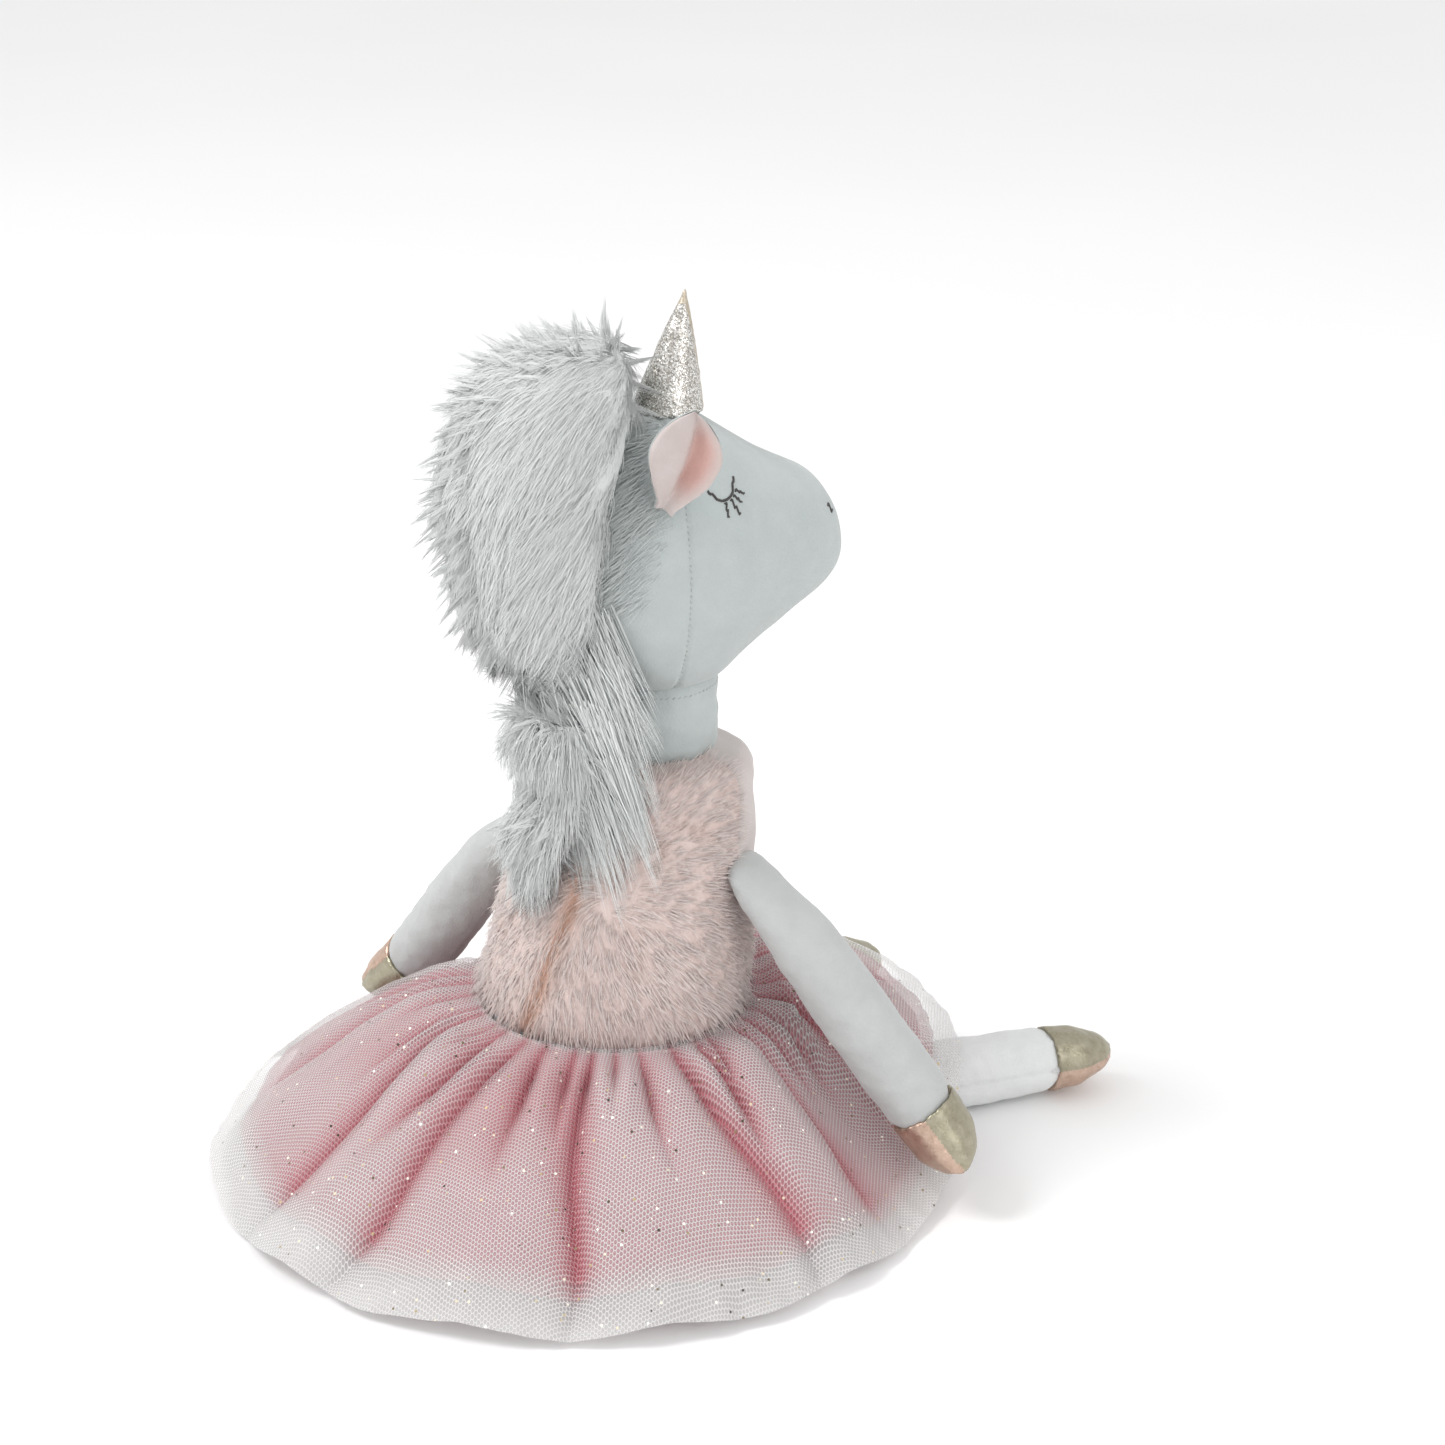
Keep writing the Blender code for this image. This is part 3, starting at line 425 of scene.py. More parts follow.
def fur_strand(name, root, tip, tint, spot=None, spot_from=0.62, spot_to=0.75):
    """Hair: darker at its root, with slow changes of tint over the coat. spot is a deeper coral over random patches
    and, where the spot attribute is set, painted shade.
    """
    m = Nodes(name, roughness=0.85)
    m.set(Sheen_Weight=0.1, Sheen_Roughness=0.5, Specular_IOR_Level=0.12)
    along = m.attribute("along")
    patch = m.steps(m.noise(0.014, 3.0, 0.6), 0.35, 0.68)
    hair = m.noise(0.0012, 1.0)
    base = m.mix(m.steps(along, 0.0, 0.75), root, tip)
    base = m.mix(m.math("MULTIPLY", patch, 0.55), base, tint)
    base = m.mix(m.steps(hair, 0.35, 0.65, 0.0, 0.10), base, tuple(c * 0.88 for c in tip))
    if spot is not None:
        where = m.steps(m.noise(0.021, 2.0, 0.5), spot_from, spot_to, 0.0, 0.6)
        base = m.mix(m.math("MAXIMUM", where, m.attribute("spot")), base, spot)
    return m.finish(base, None, m.steps(hair, 0.3, 0.7, 0.75, 0.95))


def lame(name, light, dark, crease=0.0035):
    """Metallic foil cloth: fine crinkles over a weave."""
    m = Nodes(name, roughness=0.32, metallic=0.85)
    crinkle = m.noise(crease, 5.0, 0.65)
    fine = m.noise(0.0009, 2.0, 0.6)
    base = m.mix(m.steps(crinkle, 0.35, 0.65), dark, light)
    base = m.mix(m.steps(fine, 0.55, 0.8, 0.0, 0.5), base, tuple(min(1.0, c * 1.25) for c in light))
    normal = m.bump(fine, 0.0003, 0.5, m.bump(crinkle, 0.0006, 0.5))
    return m.finish(base, normal, m.steps(crinkle, 0.3, 0.7, 0.26, 0.46))


def glitter(name):
    """Cloth covered with small silver flakes, each with its own shade and tilt."""
    m = Nodes(name, roughness=0.25, metallic=0.9)
    flake = m.voronoi(0.00042)
    parts = m.tree.nodes.new("ShaderNodeSeparateColor")
    m.join(flake, parts.inputs["Color"])
    base = m.ramp(parts.outputs["Red"], (
        (0.0, (0.30, 0.28, 0.25)), (0.35, (0.50, 0.47, 0.43)),
        (0.62, (0.68, 0.66, 0.62)), (0.88, (1.0, 0.99, 0.97))))
    normal = m.bump(parts.outputs["Green"], 0.0012, 1.0, m.bump(m.noise(0.002, 3.0), 0.0008, 0.5))
    return m.finish(base, normal, m.steps(parts.outputs["Blue"], 0.0, 1.0, 0.12, 0.5))


def foil_cloth(name, light, dark):
    """The horn's plain side: brushed champagne foil."""
    m = Nodes(name, roughness=0.4, metallic=0.7)
    weave = m.noise(0.0008, 2.0)
    base = m.mix(m.steps(weave, 0.3, 0.7), dark, light)
    return m.finish(base, m.bump(weave, 0.0003, 0.5), m.steps(weave, 0.2, 0.8, 0.35, 0.55))


def thread(name, colour):
    m = Nodes(name, roughness=0.6)
    m.set(Sheen_Weight=0.2, Specular_IOR_Level=0.4)
    twist = m.noise(0.0004, 2.0)
    base = m.mix(m.steps(twist, 0.3, 0.7), tuple(c * 0.6 for c in colour), tuple(c * 1.5 for c in colour))
    return m.finish(base, m.bump(twist, 0.0002, 0.6), m.steps(twist, 0.3, 0.7, 0.5, 0.7))


def woven(name, colour, shade, pitch=0.0008, roughness=0.7):
    """Plain cloth with crossing threads."""
    m = Nodes(name, roughness=roughness)
    m.set(Sheen_Weight=0.15, Specular_IOR_Level=0.3)
    wave = []
    for axis in ("X", "Y", "Z"):
        node = m.tree.nodes.new("ShaderNodeTexWave")
        node.bands_direction = axis
        node.inputs["Scale"].default_value = 0.314 / pitch
        node.inputs["Distortion"].default_value = 0.6
        m.join(m.place, node.inputs["Vector"])
        wave.append(node.outputs["Fac"])
    cross = m.math("MAXIMUM", m.math("MAXIMUM", wave[0], wave[1]), wave[2])
    slow = m.noise(0.012, 3.0)
    base = m.mix(m.steps(slow, 0.3, 0.7), shade, colour)
    base = m.mix(m.steps(cross, 0.0, 1.0, 0.25, 0.0), base, tuple(c * 0.8 for c in shade))
    normal = m.bump(cross, 0.0002, 0.4, m.bump(slow, 0.001, 0.3))
    return m.finish(base, normal, m.steps(slow, 0.2, 0.8, roughness - 0.1, roughness + 0.1))


def fibre(name, colour):
    """Loose polyester filling."""
    m = Nodes(name, roughness=1.0)
    tuft = m.noise(0.004, 6.0, 0.75)
    base = m.mix(m.steps(tuft, 0.3, 0.7), tuple(c * 0.85 for c in colour), colour)
    return m.finish(base, m.bump(tuft, 0.002, 0.9), m.steps(tuft, 0.2, 0.8, 0.9, 1.0))


TULLE_PITCH = 0.00125     # distance between the holes of the tulle


def hexagon_threads(m, pitch):
    """How near a point is to the threads of a hexagon net seen from above: 0 in a hole, 0.5 on a thread."""
    split = m.tree.nodes.new("ShaderNodeSeparateXYZ")
    m.join(m.place, split.inputs[0])
    height = math.sqrt(3.0)
    found = []
    for shift in (0.0, 0.5):
        cell = []
        for axis, period in ((0, 1.0), (1, height)):
            scaled = m.math("MULTIPLY", split.outputs[axis], 1.0 / pitch)
            moved = m.math("ADD", scaled, 1000.0 * period + shift * period)
            wrapped = m.math("MODULO", moved, period)
            cell.append(m.math("ABSOLUTE", m.math("SUBTRACT", wrapped, period / 2)))
        slanted = m.math("ADD", m.math("MULTIPLY", cell[0], 0.5), m.math("MULTIPLY", cell[1], height / 2))
        found.append(m.math("MAXIMUM", cell[0], slanted))
    return m.math("MINIMUM", found[0], found[1])


def tulle(name, colour, hole_alpha, thread_alpha, sparkle):
    """Hexagon net, see-through in its holes, with flecks of glitter. ridge is 1 on top of a gather. The net's
    colour turns a darker pink in the gathers' valleys: painted shade.
    """
    m = Nodes(name, roughness=0.55, colour=colour)
    m.set(Sheen_Weight=0.2, Specular_IOR_Level=0.3)
    net = hexagon_threads(m, TULLE_PITCH)
    line = m.steps(net, 0.36, 0.44)
    ridge = m.attribute("ridge")
    alpha = m.math("ADD", m.math("MULTIPLY", line, thread_alpha - hole_alpha), hole_alpha)
    alpha = m.math("ADD", alpha, m.math("MULTIPLY", m.math("SUBTRACT", ridge, 0.5), 0.26), clamp=True)
    alpha = m.math("ADD", alpha, m.math("MULTIPLY", m.attribute("veil"), 0.32), clamp=True)
    tone = m.steps(m.noise(0.018, 3.0), 0.3, 0.7)
    base = m.mix(tone, tuple(c * 0.94 for c in colour), colour)
    # valley: painted shade in the gathers' valleys, tinted pink as the lining below
    valley = (colour[0] * 0.86, colour[1] * 0.52, colour[2] * 0.56)
    bare = m.math("SUBTRACT", 1.0, m.attribute("veil"))
    base = m.mix(m.math("MULTIPLY", m.steps(ridge, 0.15, 0.75, 1.0, 0.0), bare), base, valley)
    if sparkle:
        cell = m.tree.nodes.new("ShaderNodeTexVoronoi")
        cell.inputs["Scale"].default_value = 1.0 / 0.0043
        m.join(m.place, cell.inputs["Vector"])
        near = m.math("LESS_THAN", cell.outputs["Distance"], 0.115)
        hue = m.tree.nodes.new("ShaderNodeSeparateColor")
        m.join(cell.outputs["Color"], hue.inputs["Color"])
        fleck = m.ramp(hue.outputs["Red"], (
            (0.0, (0.04, 0.04, 0.03)), (0.30, (0.22, 0.17, 0.10)),
            (0.52, (0.62, 0.50, 0.28)), (0.80, (1.0, 0.98, 0.90))))
        base = m.mix(near, base, fleck)
        alpha = m.math("MAXIMUM", alpha, near)
        m.join(m.math("MULTIPLY", near, 0.8), m.shader.inputs["Metallic"])
    return m.finish(base, m.bump(line, 0.0003, 0.5), None, alpha)


def satin(name, colour, deep):
    """Smooth pink lining, with painted shade in the gathers' valleys: a deeper, darker pink."""
    m = Nodes(name, roughness=0.5)
    m.set(Sheen_Weight=0.2, Specular_IOR_Level=0.35)
    ridge = m.attribute("ridge")
    slow = m.noise(0.012, 3.0)
    # painted shade: the deep colour in the gathers' valleys
    base = m.mix(m.steps(ridge, 0.1, 0.8), deep, colour)
    base = m.mix(m.steps(slow, 0.3, 0.75, 0.0, 0.35), base, tuple(c * 0.9 for c in colour))
    fine = m.noise(0.0006, 1.0)
    return m.finish(base, m.bump(fine, 0.0002, 0.4), m.steps(slow, 0.2, 0.8, 0.4, 0.6))


WHITE = (0.475, 0.517, 0.512)
WHITE_SHADE = (0.44, 0.48, 0.475)


def make_materials():
    return {
        "plush": velour("white_velour", WHITE, WHITE_SHADE),
        # limb: a warmer, lighter copy of the white plush, painted light for how the arms are lit
        "limb": velour("limb_velour_painted_light", (0.515, 0.53, 0.525), (0.48, 0.495, 0.49)),
        # ear_pink: its deep colour is painted shade in the ear's hollow
        "ear_pink": velour("ear_velour", (0.58, 0.52, 0.505), (0.54, 0.47, 0.45), deep=(0.58, 0.35, 0.31)),
        "undercoat": velour("mane_ground", (0.77, 0.79, 0.78), (0.74, 0.76, 0.75), 0.0011),
        "mane": fur_strand("mane_hair", (0.79, 0.81, 0.80), (0.775, 0.80, 0.79), (0.755, 0.775, 0.765)),
        "mane_edge": fur_strand("mane_edge_hair", (0.53, 0.57, 0.565), (0.60, 0.635, 0.625),
                                (0.55, 0.59, 0.58)),
        # bodice_ground: its deep colour is painted shade in the back seam
        "bodice_ground": velour("bodice_ground", (0.74, 0.61, 0.58), (0.66, 0.52, 0.48), 0.0012,
                                (0.56, 0.30, 0.20)),
        "bodice_smooth": velour("bodice_bib", (0.60, 0.545, 0.53), (0.56, 0.50, 0.48), 0.0008),
        # bodice: its spot colour is painted shade along the back seam, and a random deeper tone elsewhere
        "bodice": fur_strand("bodice_hair", (0.70, 0.575, 0.54), (0.76, 0.68, 0.65), (0.71, 0.60, 0.57),
                             (0.62, 0.38, 0.28)),
        "glitter": glitter("horn_flakes"),
        "foil": foil_cloth("horn_foil", (0.60, 0.54, 0.45), (0.46, 0.40, 0.31)),
        "gold": lame("light_gold_lame", (0.43, 0.40, 0.305), (0.33, 0.30, 0.215)),
        "copper": lame("rose_copper_lame", (0.62, 0.46, 0.37), (0.50, 0.35, 0.27)),
        # leg: a lighter copy of the white plush, painted light that offsets the shade the legs sit in
        "leg": velour("leg_velour_painted_light", (0.76, 0.775, 0.77), (0.72, 0.735, 0.73)),
        "thread": thread("embroidery_thread", (0.045, 0.04, 0.038)),
        "seam": thread("white_thread", (0.36, 0.38, 0.38)),
        "filling": fibre("polyester_fibre", (0.8, 0.8, 0.8)),
        "bag": woven("bag_cloth", (0.70, 0.70, 0.68), (0.62, 0.62, 0.60)),
        "elastic": woven("elastic_weave", (0.64, 0.38, 0.40), (0.56, 0.30, 0.31), 0.0011),
        "tulle": tulle("glitter_tulle", (0.66, 0.645, 0.64), 0.16, 0.80, True),
        "pink_tulle": tulle("rose_tulle", (0.66, 0.29, 0.325), 0.50, 0.95, False),
        "satin": satin("rose_lining", (0.66, 0.27, 0.30), (0.52, 0.09, 0.12)),
    }


LOOKS = make_materials()


def keep_nodes():
    """CAD nodes that stay as they are, inside the toy, get their cloth or filling."""
    for name, node in NODES.items():
        key = "plush"
        if "filling" in name:
            key = "filling"
        elif name == "bean_bag":
            key = "bag"
        elif name == "waist_elastic":
            key = "elastic"
        node.data.materials.clear()
        node.data.materials.append(LOOKS[key])
        node.data.shade_smooth()


# ---- head ------------------------------------------------------------------------------------------
class Head:
    """The turned head's axes, from its joint and the middle of the muzzle."""

    def __init__(self):
        self.pivot, _ = joint_place("head_turn")
        face = mesh_points(NODES["face_panel"])
        flat = face[:, :2] - np.array(self.pivot)[:2]
        farthest = flat[np.argmax(np.linalg.norm(flat, axis=1))]
        self.ahead = Vector((farthest[0], farthest[1], 0.0)).normalized()
        self.left = Vector((-self.ahead.y, self.ahead.x, 0.0))
        self.seam = float(self.forward(face).min()) - 0.0035
        self.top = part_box("face_panel")[1].z

    def forward(self, points):
        return (np.asarray(points) - np.array(self.pivot)) @ np.array(self.ahead)

    def aside(self, points):
        return (np.asarray(points) - np.array(self.pivot)) @ np.array(self.left)

    def place(self, forward, left, z):
        return Vector((self.pivot.x, self.pivot.y, z)) + self.ahead * forward + self.left * left


def build_head(head):
    nodes = [NODES[n] for n in ("face_panel", "head_back_panel", "head_filling")]
    skin = joined_copy("head_plush", nodes, LOOKS["plush"])
    remesh(skin, 0.0032)
    outer_shell(skin)
    bottom = head.pivot.z + 0.004
    stuff(skin, 3.0, 16, 0.0012, lambda p: (p[:, 2] < bottom).astype(float))
    soften(skin, 10)
    subdivide(skin, 2)
    points = mesh_points(skin)
    forward = head.forward(points)
    aside = head.aside(points)
    dent = groove(forward - head.seam, 0.0009) * 0.0007
    dent += groove(aside, 0.0009) * 0.0005 * (forward > head.seam) * (points[:, 2] < head.pivot.z + 0.05)
    pucker = noise_field(points, 0.005, 2.0) * groove(forward - head.seam, 0.004) * 0.0003
    swell = noise_field(points, 0.022, 1.0, 2) * 0.0006
    push(skin, swell + pucker - dent)
    finish_piece(skin, "head", ("face_panel", "head_back_panel"))
    return skin


def ring_path(tree, centre, first, second, reach, steps=160):
    """Points and normals where a plane through centre cuts a closed surface, all the way round."""
    path = []
    normals = []
    for k in range(steps + 1):
        angle = 2 * math.pi * k / steps
        way = first * math.cos(angle) + second * math.sin(angle)
        hit, normal, _, _ = tree.ray_cast(centre + way * reach, -way)
        if hit is not None:
            path.append(hit)
            normals.append(normal)
    return path, normals


def stitched_seam(name, path, normals, material, body):
    builder = bmesh.new()
    stitch_row(builder, path, normals, 0.0006, 0.0021, -0.0001, 0.36)
    finish_piece(built_object(name, builder, material, True), body)


def build_seams(head, skin, neck):
    tree = surface_tree(skin)
    middle = head.place(head.seam, 0.0, head.pivot.z + 0.045)
    path, normals = ring_path(tree, middle, head.left, Vector((0, 0, 1)), 0.09)
    stitched_seam("head_seam_stitches", path, normals, LOOKS["seam"], "head")
    tree = surface_tree(neck)
    middle = Vector((head.pivot.x, head.pivot.y, head.pivot.z - 0.0009))
    path, normals = ring_path(tree, middle, head.left, head.ahead, 0.06, 90)
    stitched_seam("neck_seam_stitches", path, normals, LOOKS["seam"], "neck")


def soften(thing, steps, share=0.5):
    modifier = thing.modifiers.new("smooth", "SMOOTH")
    modifier.iterations = steps
    modifier.factor = share
    return apply_modifiers(thing)


def build_neck(head):
    skin = joined_copy("neck_plush", [NODES["neck_cover"], NODES["neck_filling"]],
                       LOOKS["plush"])
    remesh(skin, 0.0022, 4)
    outer_shell(skin)
    subdivide(skin)
    points = mesh_points(skin)
    tucked = np.clip((points[:, 2] - head.pivot.z + 0.004) / 0.003, 0.0, 1.0)
    points[:, 2] += tucked * 0.0045
    set_points(skin, points)
    folds = noise_field(points * np.array([1.0, 1.0, 2.2]), 0.016, 5.0) * 0.0007
    push(skin, folds + 0.0003)
    finish_piece(skin, "neck", ("neck_cover",))
    return skin


HORN_RADIUS = 0.0119      # at the foot
HORN_ROWS = 44
HORN_SIDES = 72


def build_horn(head):
    """A slightly bent cone of glitter cloth, with a strip of plain foil along one side."""
    low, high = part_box("horn_cover")
    rows, around = HORN_ROWS, HORN_SIDES
    centre_foot = head.place(0.0062, 0.0, low.z)
    tip = head.place(0.0127, 0.0, high.z)
    vertices = []
    for i in range(rows + 1):
        share = i / rows
        radius = HORN_RADIUS * (1.0 - share) + 0.0009 * math.sin(math.pi * share)
        radius = max(radius, 0.0012 * math.sqrt(max(1.0 - share, 0.0) * 10.0))
        centre = centre_foot.lerp(tip, share)
        for k in range(around):
            a = 2 * math.pi * k / around
            direction = head.ahead * math.cos(a) + head.left * math.sin(a)
            p = centre + direction * radius
            crumple = noise.fractal(p / 0.0045, 1.0, 2.0, 3) * 0.00035
            vertices.append(p + direction * crumple * min(1.0, (1.0 - share) * 6.0))
    vertices.append(tip + Vector((0, 0, 0.0001)))
    faces = [face[:1] + face[:0:-1] for face in ring_faces(rows + 1, around)]
    last = rows * around
    faces += [(last + k, last + (k + 1) % around, last + around) for k in range(around)]
    faces.append(tuple(range(around - 1, -1, -1)))
    horn = mesh_object("horn_glitter_cone", vertices, faces, LOOKS["glitter"])
    horn.data.materials.append(LOOKS["foil"])
    middle_forward = head.forward([centre_foot.lerp(tip, 0.5)])[0]
    for polygon in horn.data.polygons:
        forward = head.forward([polygon.center])[0] - middle_forward
        side = head.aside([polygon.center])[0]
        angle = math.degrees(math.atan2(side, forward))
        if -38.0 < angle < 30.0:
            polygon.material_index = 1
    finish_piece(horn, "head", ("horn_cover",))


def leaf_rows(side, head, name, inset, surface, lift):
    """One surface of a cupped ear with a rolled front edge: its rows from foot to tip, and the painted shade of
    each point, deepest in the hollow of the rolled side.
    """
    foot, _ = joint_place(f"ear_{name}_flop")
    out = head.left * side
    up = (Vector((0, 0, 1)) * 0.96 + out * 0.26 + head.ahead * 0.27).normalized()
    facing = (out * 0.99 + head.ahead * 0.10)
    facing = (facing - up * facing.dot(up)).normalized()
    across = up.cross(facing).normalized()
    if across.dot(head.ahead) < 0.0:
        across = -across
    low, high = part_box(f"ear_back_{name}")
    length = (high.z - low.z) * 1.0
    half = length * 0.315
    rows = []
    painted_shades = []
    steps, columns = 30, 26
    for i in range(steps + 1):
        v = i / steps
        width = half * inset * max(math.sin(math.pi * min(v ** 1.38, 1.0)), 0.0) ** 0.72
        width = max(width, half * (0.15 * (1.0 - v) + 0.03))
        body = math.sin(math.pi * min(v * 0.86 + 0.14, 1.0)) ** 0.7 if v < 0.999 else 0.0
        window = math.exp(-((v - 0.55) / 0.34) ** 4)
        row = []
        for k in range(columns + 1):
            u = -1.0 + 2.0 * k / columns
            cup = (0.0022 if u < 0.0 else 0.0092) * u * u * (0.35 + 0.65 * body)
            pad = 0.0034 * math.sqrt(max(1.0 - u * u, 0.0)) * body
            crease = math.exp(-((u - 0.36) / 0.17) ** 2) * window
            depth = {"front": cup + pad - 0.0040 * crease, "middle": cup - 0.0004 - 0.0006 * crease,
                     "back": cup - 0.0010 - pad * 0.6}[surface]
            p = foot + up * (length * (0.01 + 0.98 * (0.5 + (v - 0.5) * inset)) - 0.0006)
            row.append(p + across * (width * u) + facing * (depth + lift))
            # painted shade: deeper pink over the hollow of the rolled side, towards mid-height
            painted_shades.append(min(1.0, math.exp(-((u - 0.52) / 0.30) ** 2) * window))
        rows.append(row)
    return rows, painted_shades


def closed_panel(name, outer, inner, material, painted_shades=None):
    """A soft panel between two grids of points, its border rounded by subdivision."""
    rows = len(outer)
    columns = len(outer[0])
    vertices = [p for grid in (outer, inner) for row in grid for p in row]
    count = rows * columns
    faces = []
    for i in range(rows - 1):
        for j in range(columns - 1):
            a = i * columns + j
            faces.append((a, a + 1, a + columns + 1, a + columns))
            b = a + count
            faces.append((b, b + columns, b + columns + 1, b + 1))
    border = [j for j in range(columns)]
    border += [i * columns + columns - 1 for i in range(1, rows)]
    border += [(rows - 1) * columns + j for j in range(columns - 2, -1, -1)]
    border += [i * columns for i in range(rows - 2, 0, -1)]
    for a, b in zip(border, border[1:] + border[:1]):
        faces.append((b, a, a + count, b + count))
    panel = mesh_object(name, vertices, faces, material)
    builder = bmesh.new()
    builder.from_mesh(panel.data)
    bmesh.ops.recalc_face_normals(builder, faces=builder.faces)
    builder.to_mesh(panel.data)
    builder.free()
    if painted_shades is not None:
        set_attribute(panel, "shade", painted_shades)
    subdivide(panel)
    return panel


def build_ears(head):
    for side, name in ((1.0, "left"), (-1.0, "right")):
        middle, _ = leaf_rows(side, head, name, 1.0, "middle", -0.0002)
        back, _ = leaf_rows(side, head, name, 1.0, "back", 0.0)
        front, painted_shades = leaf_rows(side, head, name, 0.985, "front", 0.0)
        under, _ = leaf_rows(side, head, name, 0.985, "middle", -0.0003)
        white = closed_panel("ear_plush_" + name, middle, back, LOOKS["plush"])
        pink = closed_panel("ear_pink_" + name, front, under, LOOKS["ear_pink"], painted_shades + painted_shades)
        for piece, node, slot in ((white, "ear_back_", "white_plush"), (pink, "ear_lining_", "ear_plush")):
            points = mesh_points(piece)
            push(piece, noise_field(points, 0.008, 3.0) * 0.0003)
            finish_piece(piece, "ear_" + name, (node + name,))


def stitch_row(builder, path, normals, width, pitch, lift, share=0.62):
    """A row of short slanting stitches of thread along a path."""
    total = sum((b - a).length for a, b in zip(path, path[1:]))
    count = max(3, round(total / pitch))
    for number in range(count):
        want = total * (number + 0.5) / count
        for k, (a, b) in enumerate(zip(path, path[1:])):
            span = (b - a).length
            if want <= span or k == len(path) - 2:
                break
            want -= span
        along = (b - a).normalized()
        up = normals[k]
        across = along.cross(up).normalized()
        middle = a + along * want + up * lift
        slant = (across + along * 0.45).normalized()
        matrix = Matrix((slant, up.cross(slant).normalized(), up)).transposed().to_4x4()
        matrix = Matrix.Translation(middle) @ matrix
        made = bmesh.ops.create_uvsphere(builder, u_segments=10, v_segments=6, radius=1.0)
        scale = Matrix.Diagonal((width / 2, pitch * share, 0.00032, 1.0))
        bmesh.ops.transform(builder, matrix=matrix @ scale, verts=made["verts"])


def build_face_stitching(head, skin):
    """Closed eyes with lashes, and nostrils, as rows of stitches on the plush."""
    tree = surface_tree(skin)
    for side, name in ((1.0, "left"), (-1.0, "right")):
        groups = {"eye_stitches_": ["eye_lid_" + name] + [f"eyelash_{name}_{k}" for k in range(1, 5)],
                  "nostril_stitches_": ["nostril_" + name]}
        for title, nodes in groups.items():
            builder = bmesh.new()
            for node in nodes:
                path, normals = bar_path(NODES[node], tree, head.left * side)
                width = 0.0011 if "lid" in node else 0.00085
                stitch_row(builder, path, normals, width, 0.00055, 0.0001)
            stitches = built_object(title + name, builder, LOOKS["thread"], True)
            finish_piece(stitches, "head", nodes)


def bar_path(node, tree, out):
    """The middle line of a flat CAD bar of thread, laid on the plush."""
    points = mesh_points(node)
    centre = points.mean(0)
    spread = points - centre
    plane = spread - np.outer(spread @ np.array(out), np.array(out))
    _, _, axes = np.linalg.svd(plane, full_matrices=False)
    long_way = plane @ axes[0]
    order = np.argsort(long_way)
    pieces = 9
    path = []
    for group in np.array_split(order, pieces):
        path.append(Vector(points[group].mean(0)))
    ends = (Vector(points[order[:4]].mean(0)), Vector(points[order[-4:]].mean(0)))
    path = [ends[0]] + path + [ends[1]]
    laid = []
    normals = []
    for p in path:
        hit, normal, _, _ = tree.find_nearest(p)
        if laid and (hit - laid[-1]).length < 1e-5:
            continue
        laid.append(hit)
        normals.append(normal)
    return laid, normals


# ---- hair ------------------------------------------------------------------------------------------
def scatter(thing, count, rng):
    """Random places on a mesh, even by area, with the normals there."""
    mesh = thing.data
    mesh.calc_loop_triangles()
    corners = np.empty(len(mesh.loop_triangles) * 3, np.int32)
    mesh.loop_triangles.foreach_get("vertices", corners)
    corners = corners.reshape(-1, 3)
    points = mesh_points(thing)
    normals = normals_of(thing)
    a, b, c = (points[corners[:, k]] for k in range(3))
    area = np.linalg.norm(np.cross(b - a, c - a), axis=1)
    chosen = rng.choice(len(corners), count, p=area / area.sum())
    first = np.sqrt(rng.random(count))[:, None]
    second = rng.random(count)[:, None]
    weights = (1.0 - first, first * (1.0 - second), first * second)
    places = sum(w * points[corners[chosen, k]] for k, w in enumerate(weights))
    turned = sum(w * normals[corners[chosen, k]] for k, w in enumerate(weights))
    return places, unit(turned)


def unit(vectors):
    return vectors / np.maximum(np.linalg.norm(vectors, axis=1, keepdims=True), 1e-9)


def tangent(vectors, normals):
    """The part of each vector that lies in the surface."""
    return vectors - normals * np.sum(vectors * normals, axis=1, keepdims=True)


def gather_tips(roots, tips, every, pull, rng):
    """Draws the tips of neighbouring hairs together into pointed locks."""
    leaders = rng.choice(len(roots), max(1, len(roots) // every), replace=False)
    tree = KDTree(len(leaders))
    for number, leader in enumerate(leaders):
        tree.insert(roots[leader], number)
    tree.balance()
    mine = np.array([leaders[tree.find(root)[1]] for root in roots])
    return tips + (tips[mine] - tips) * pull[:, None]


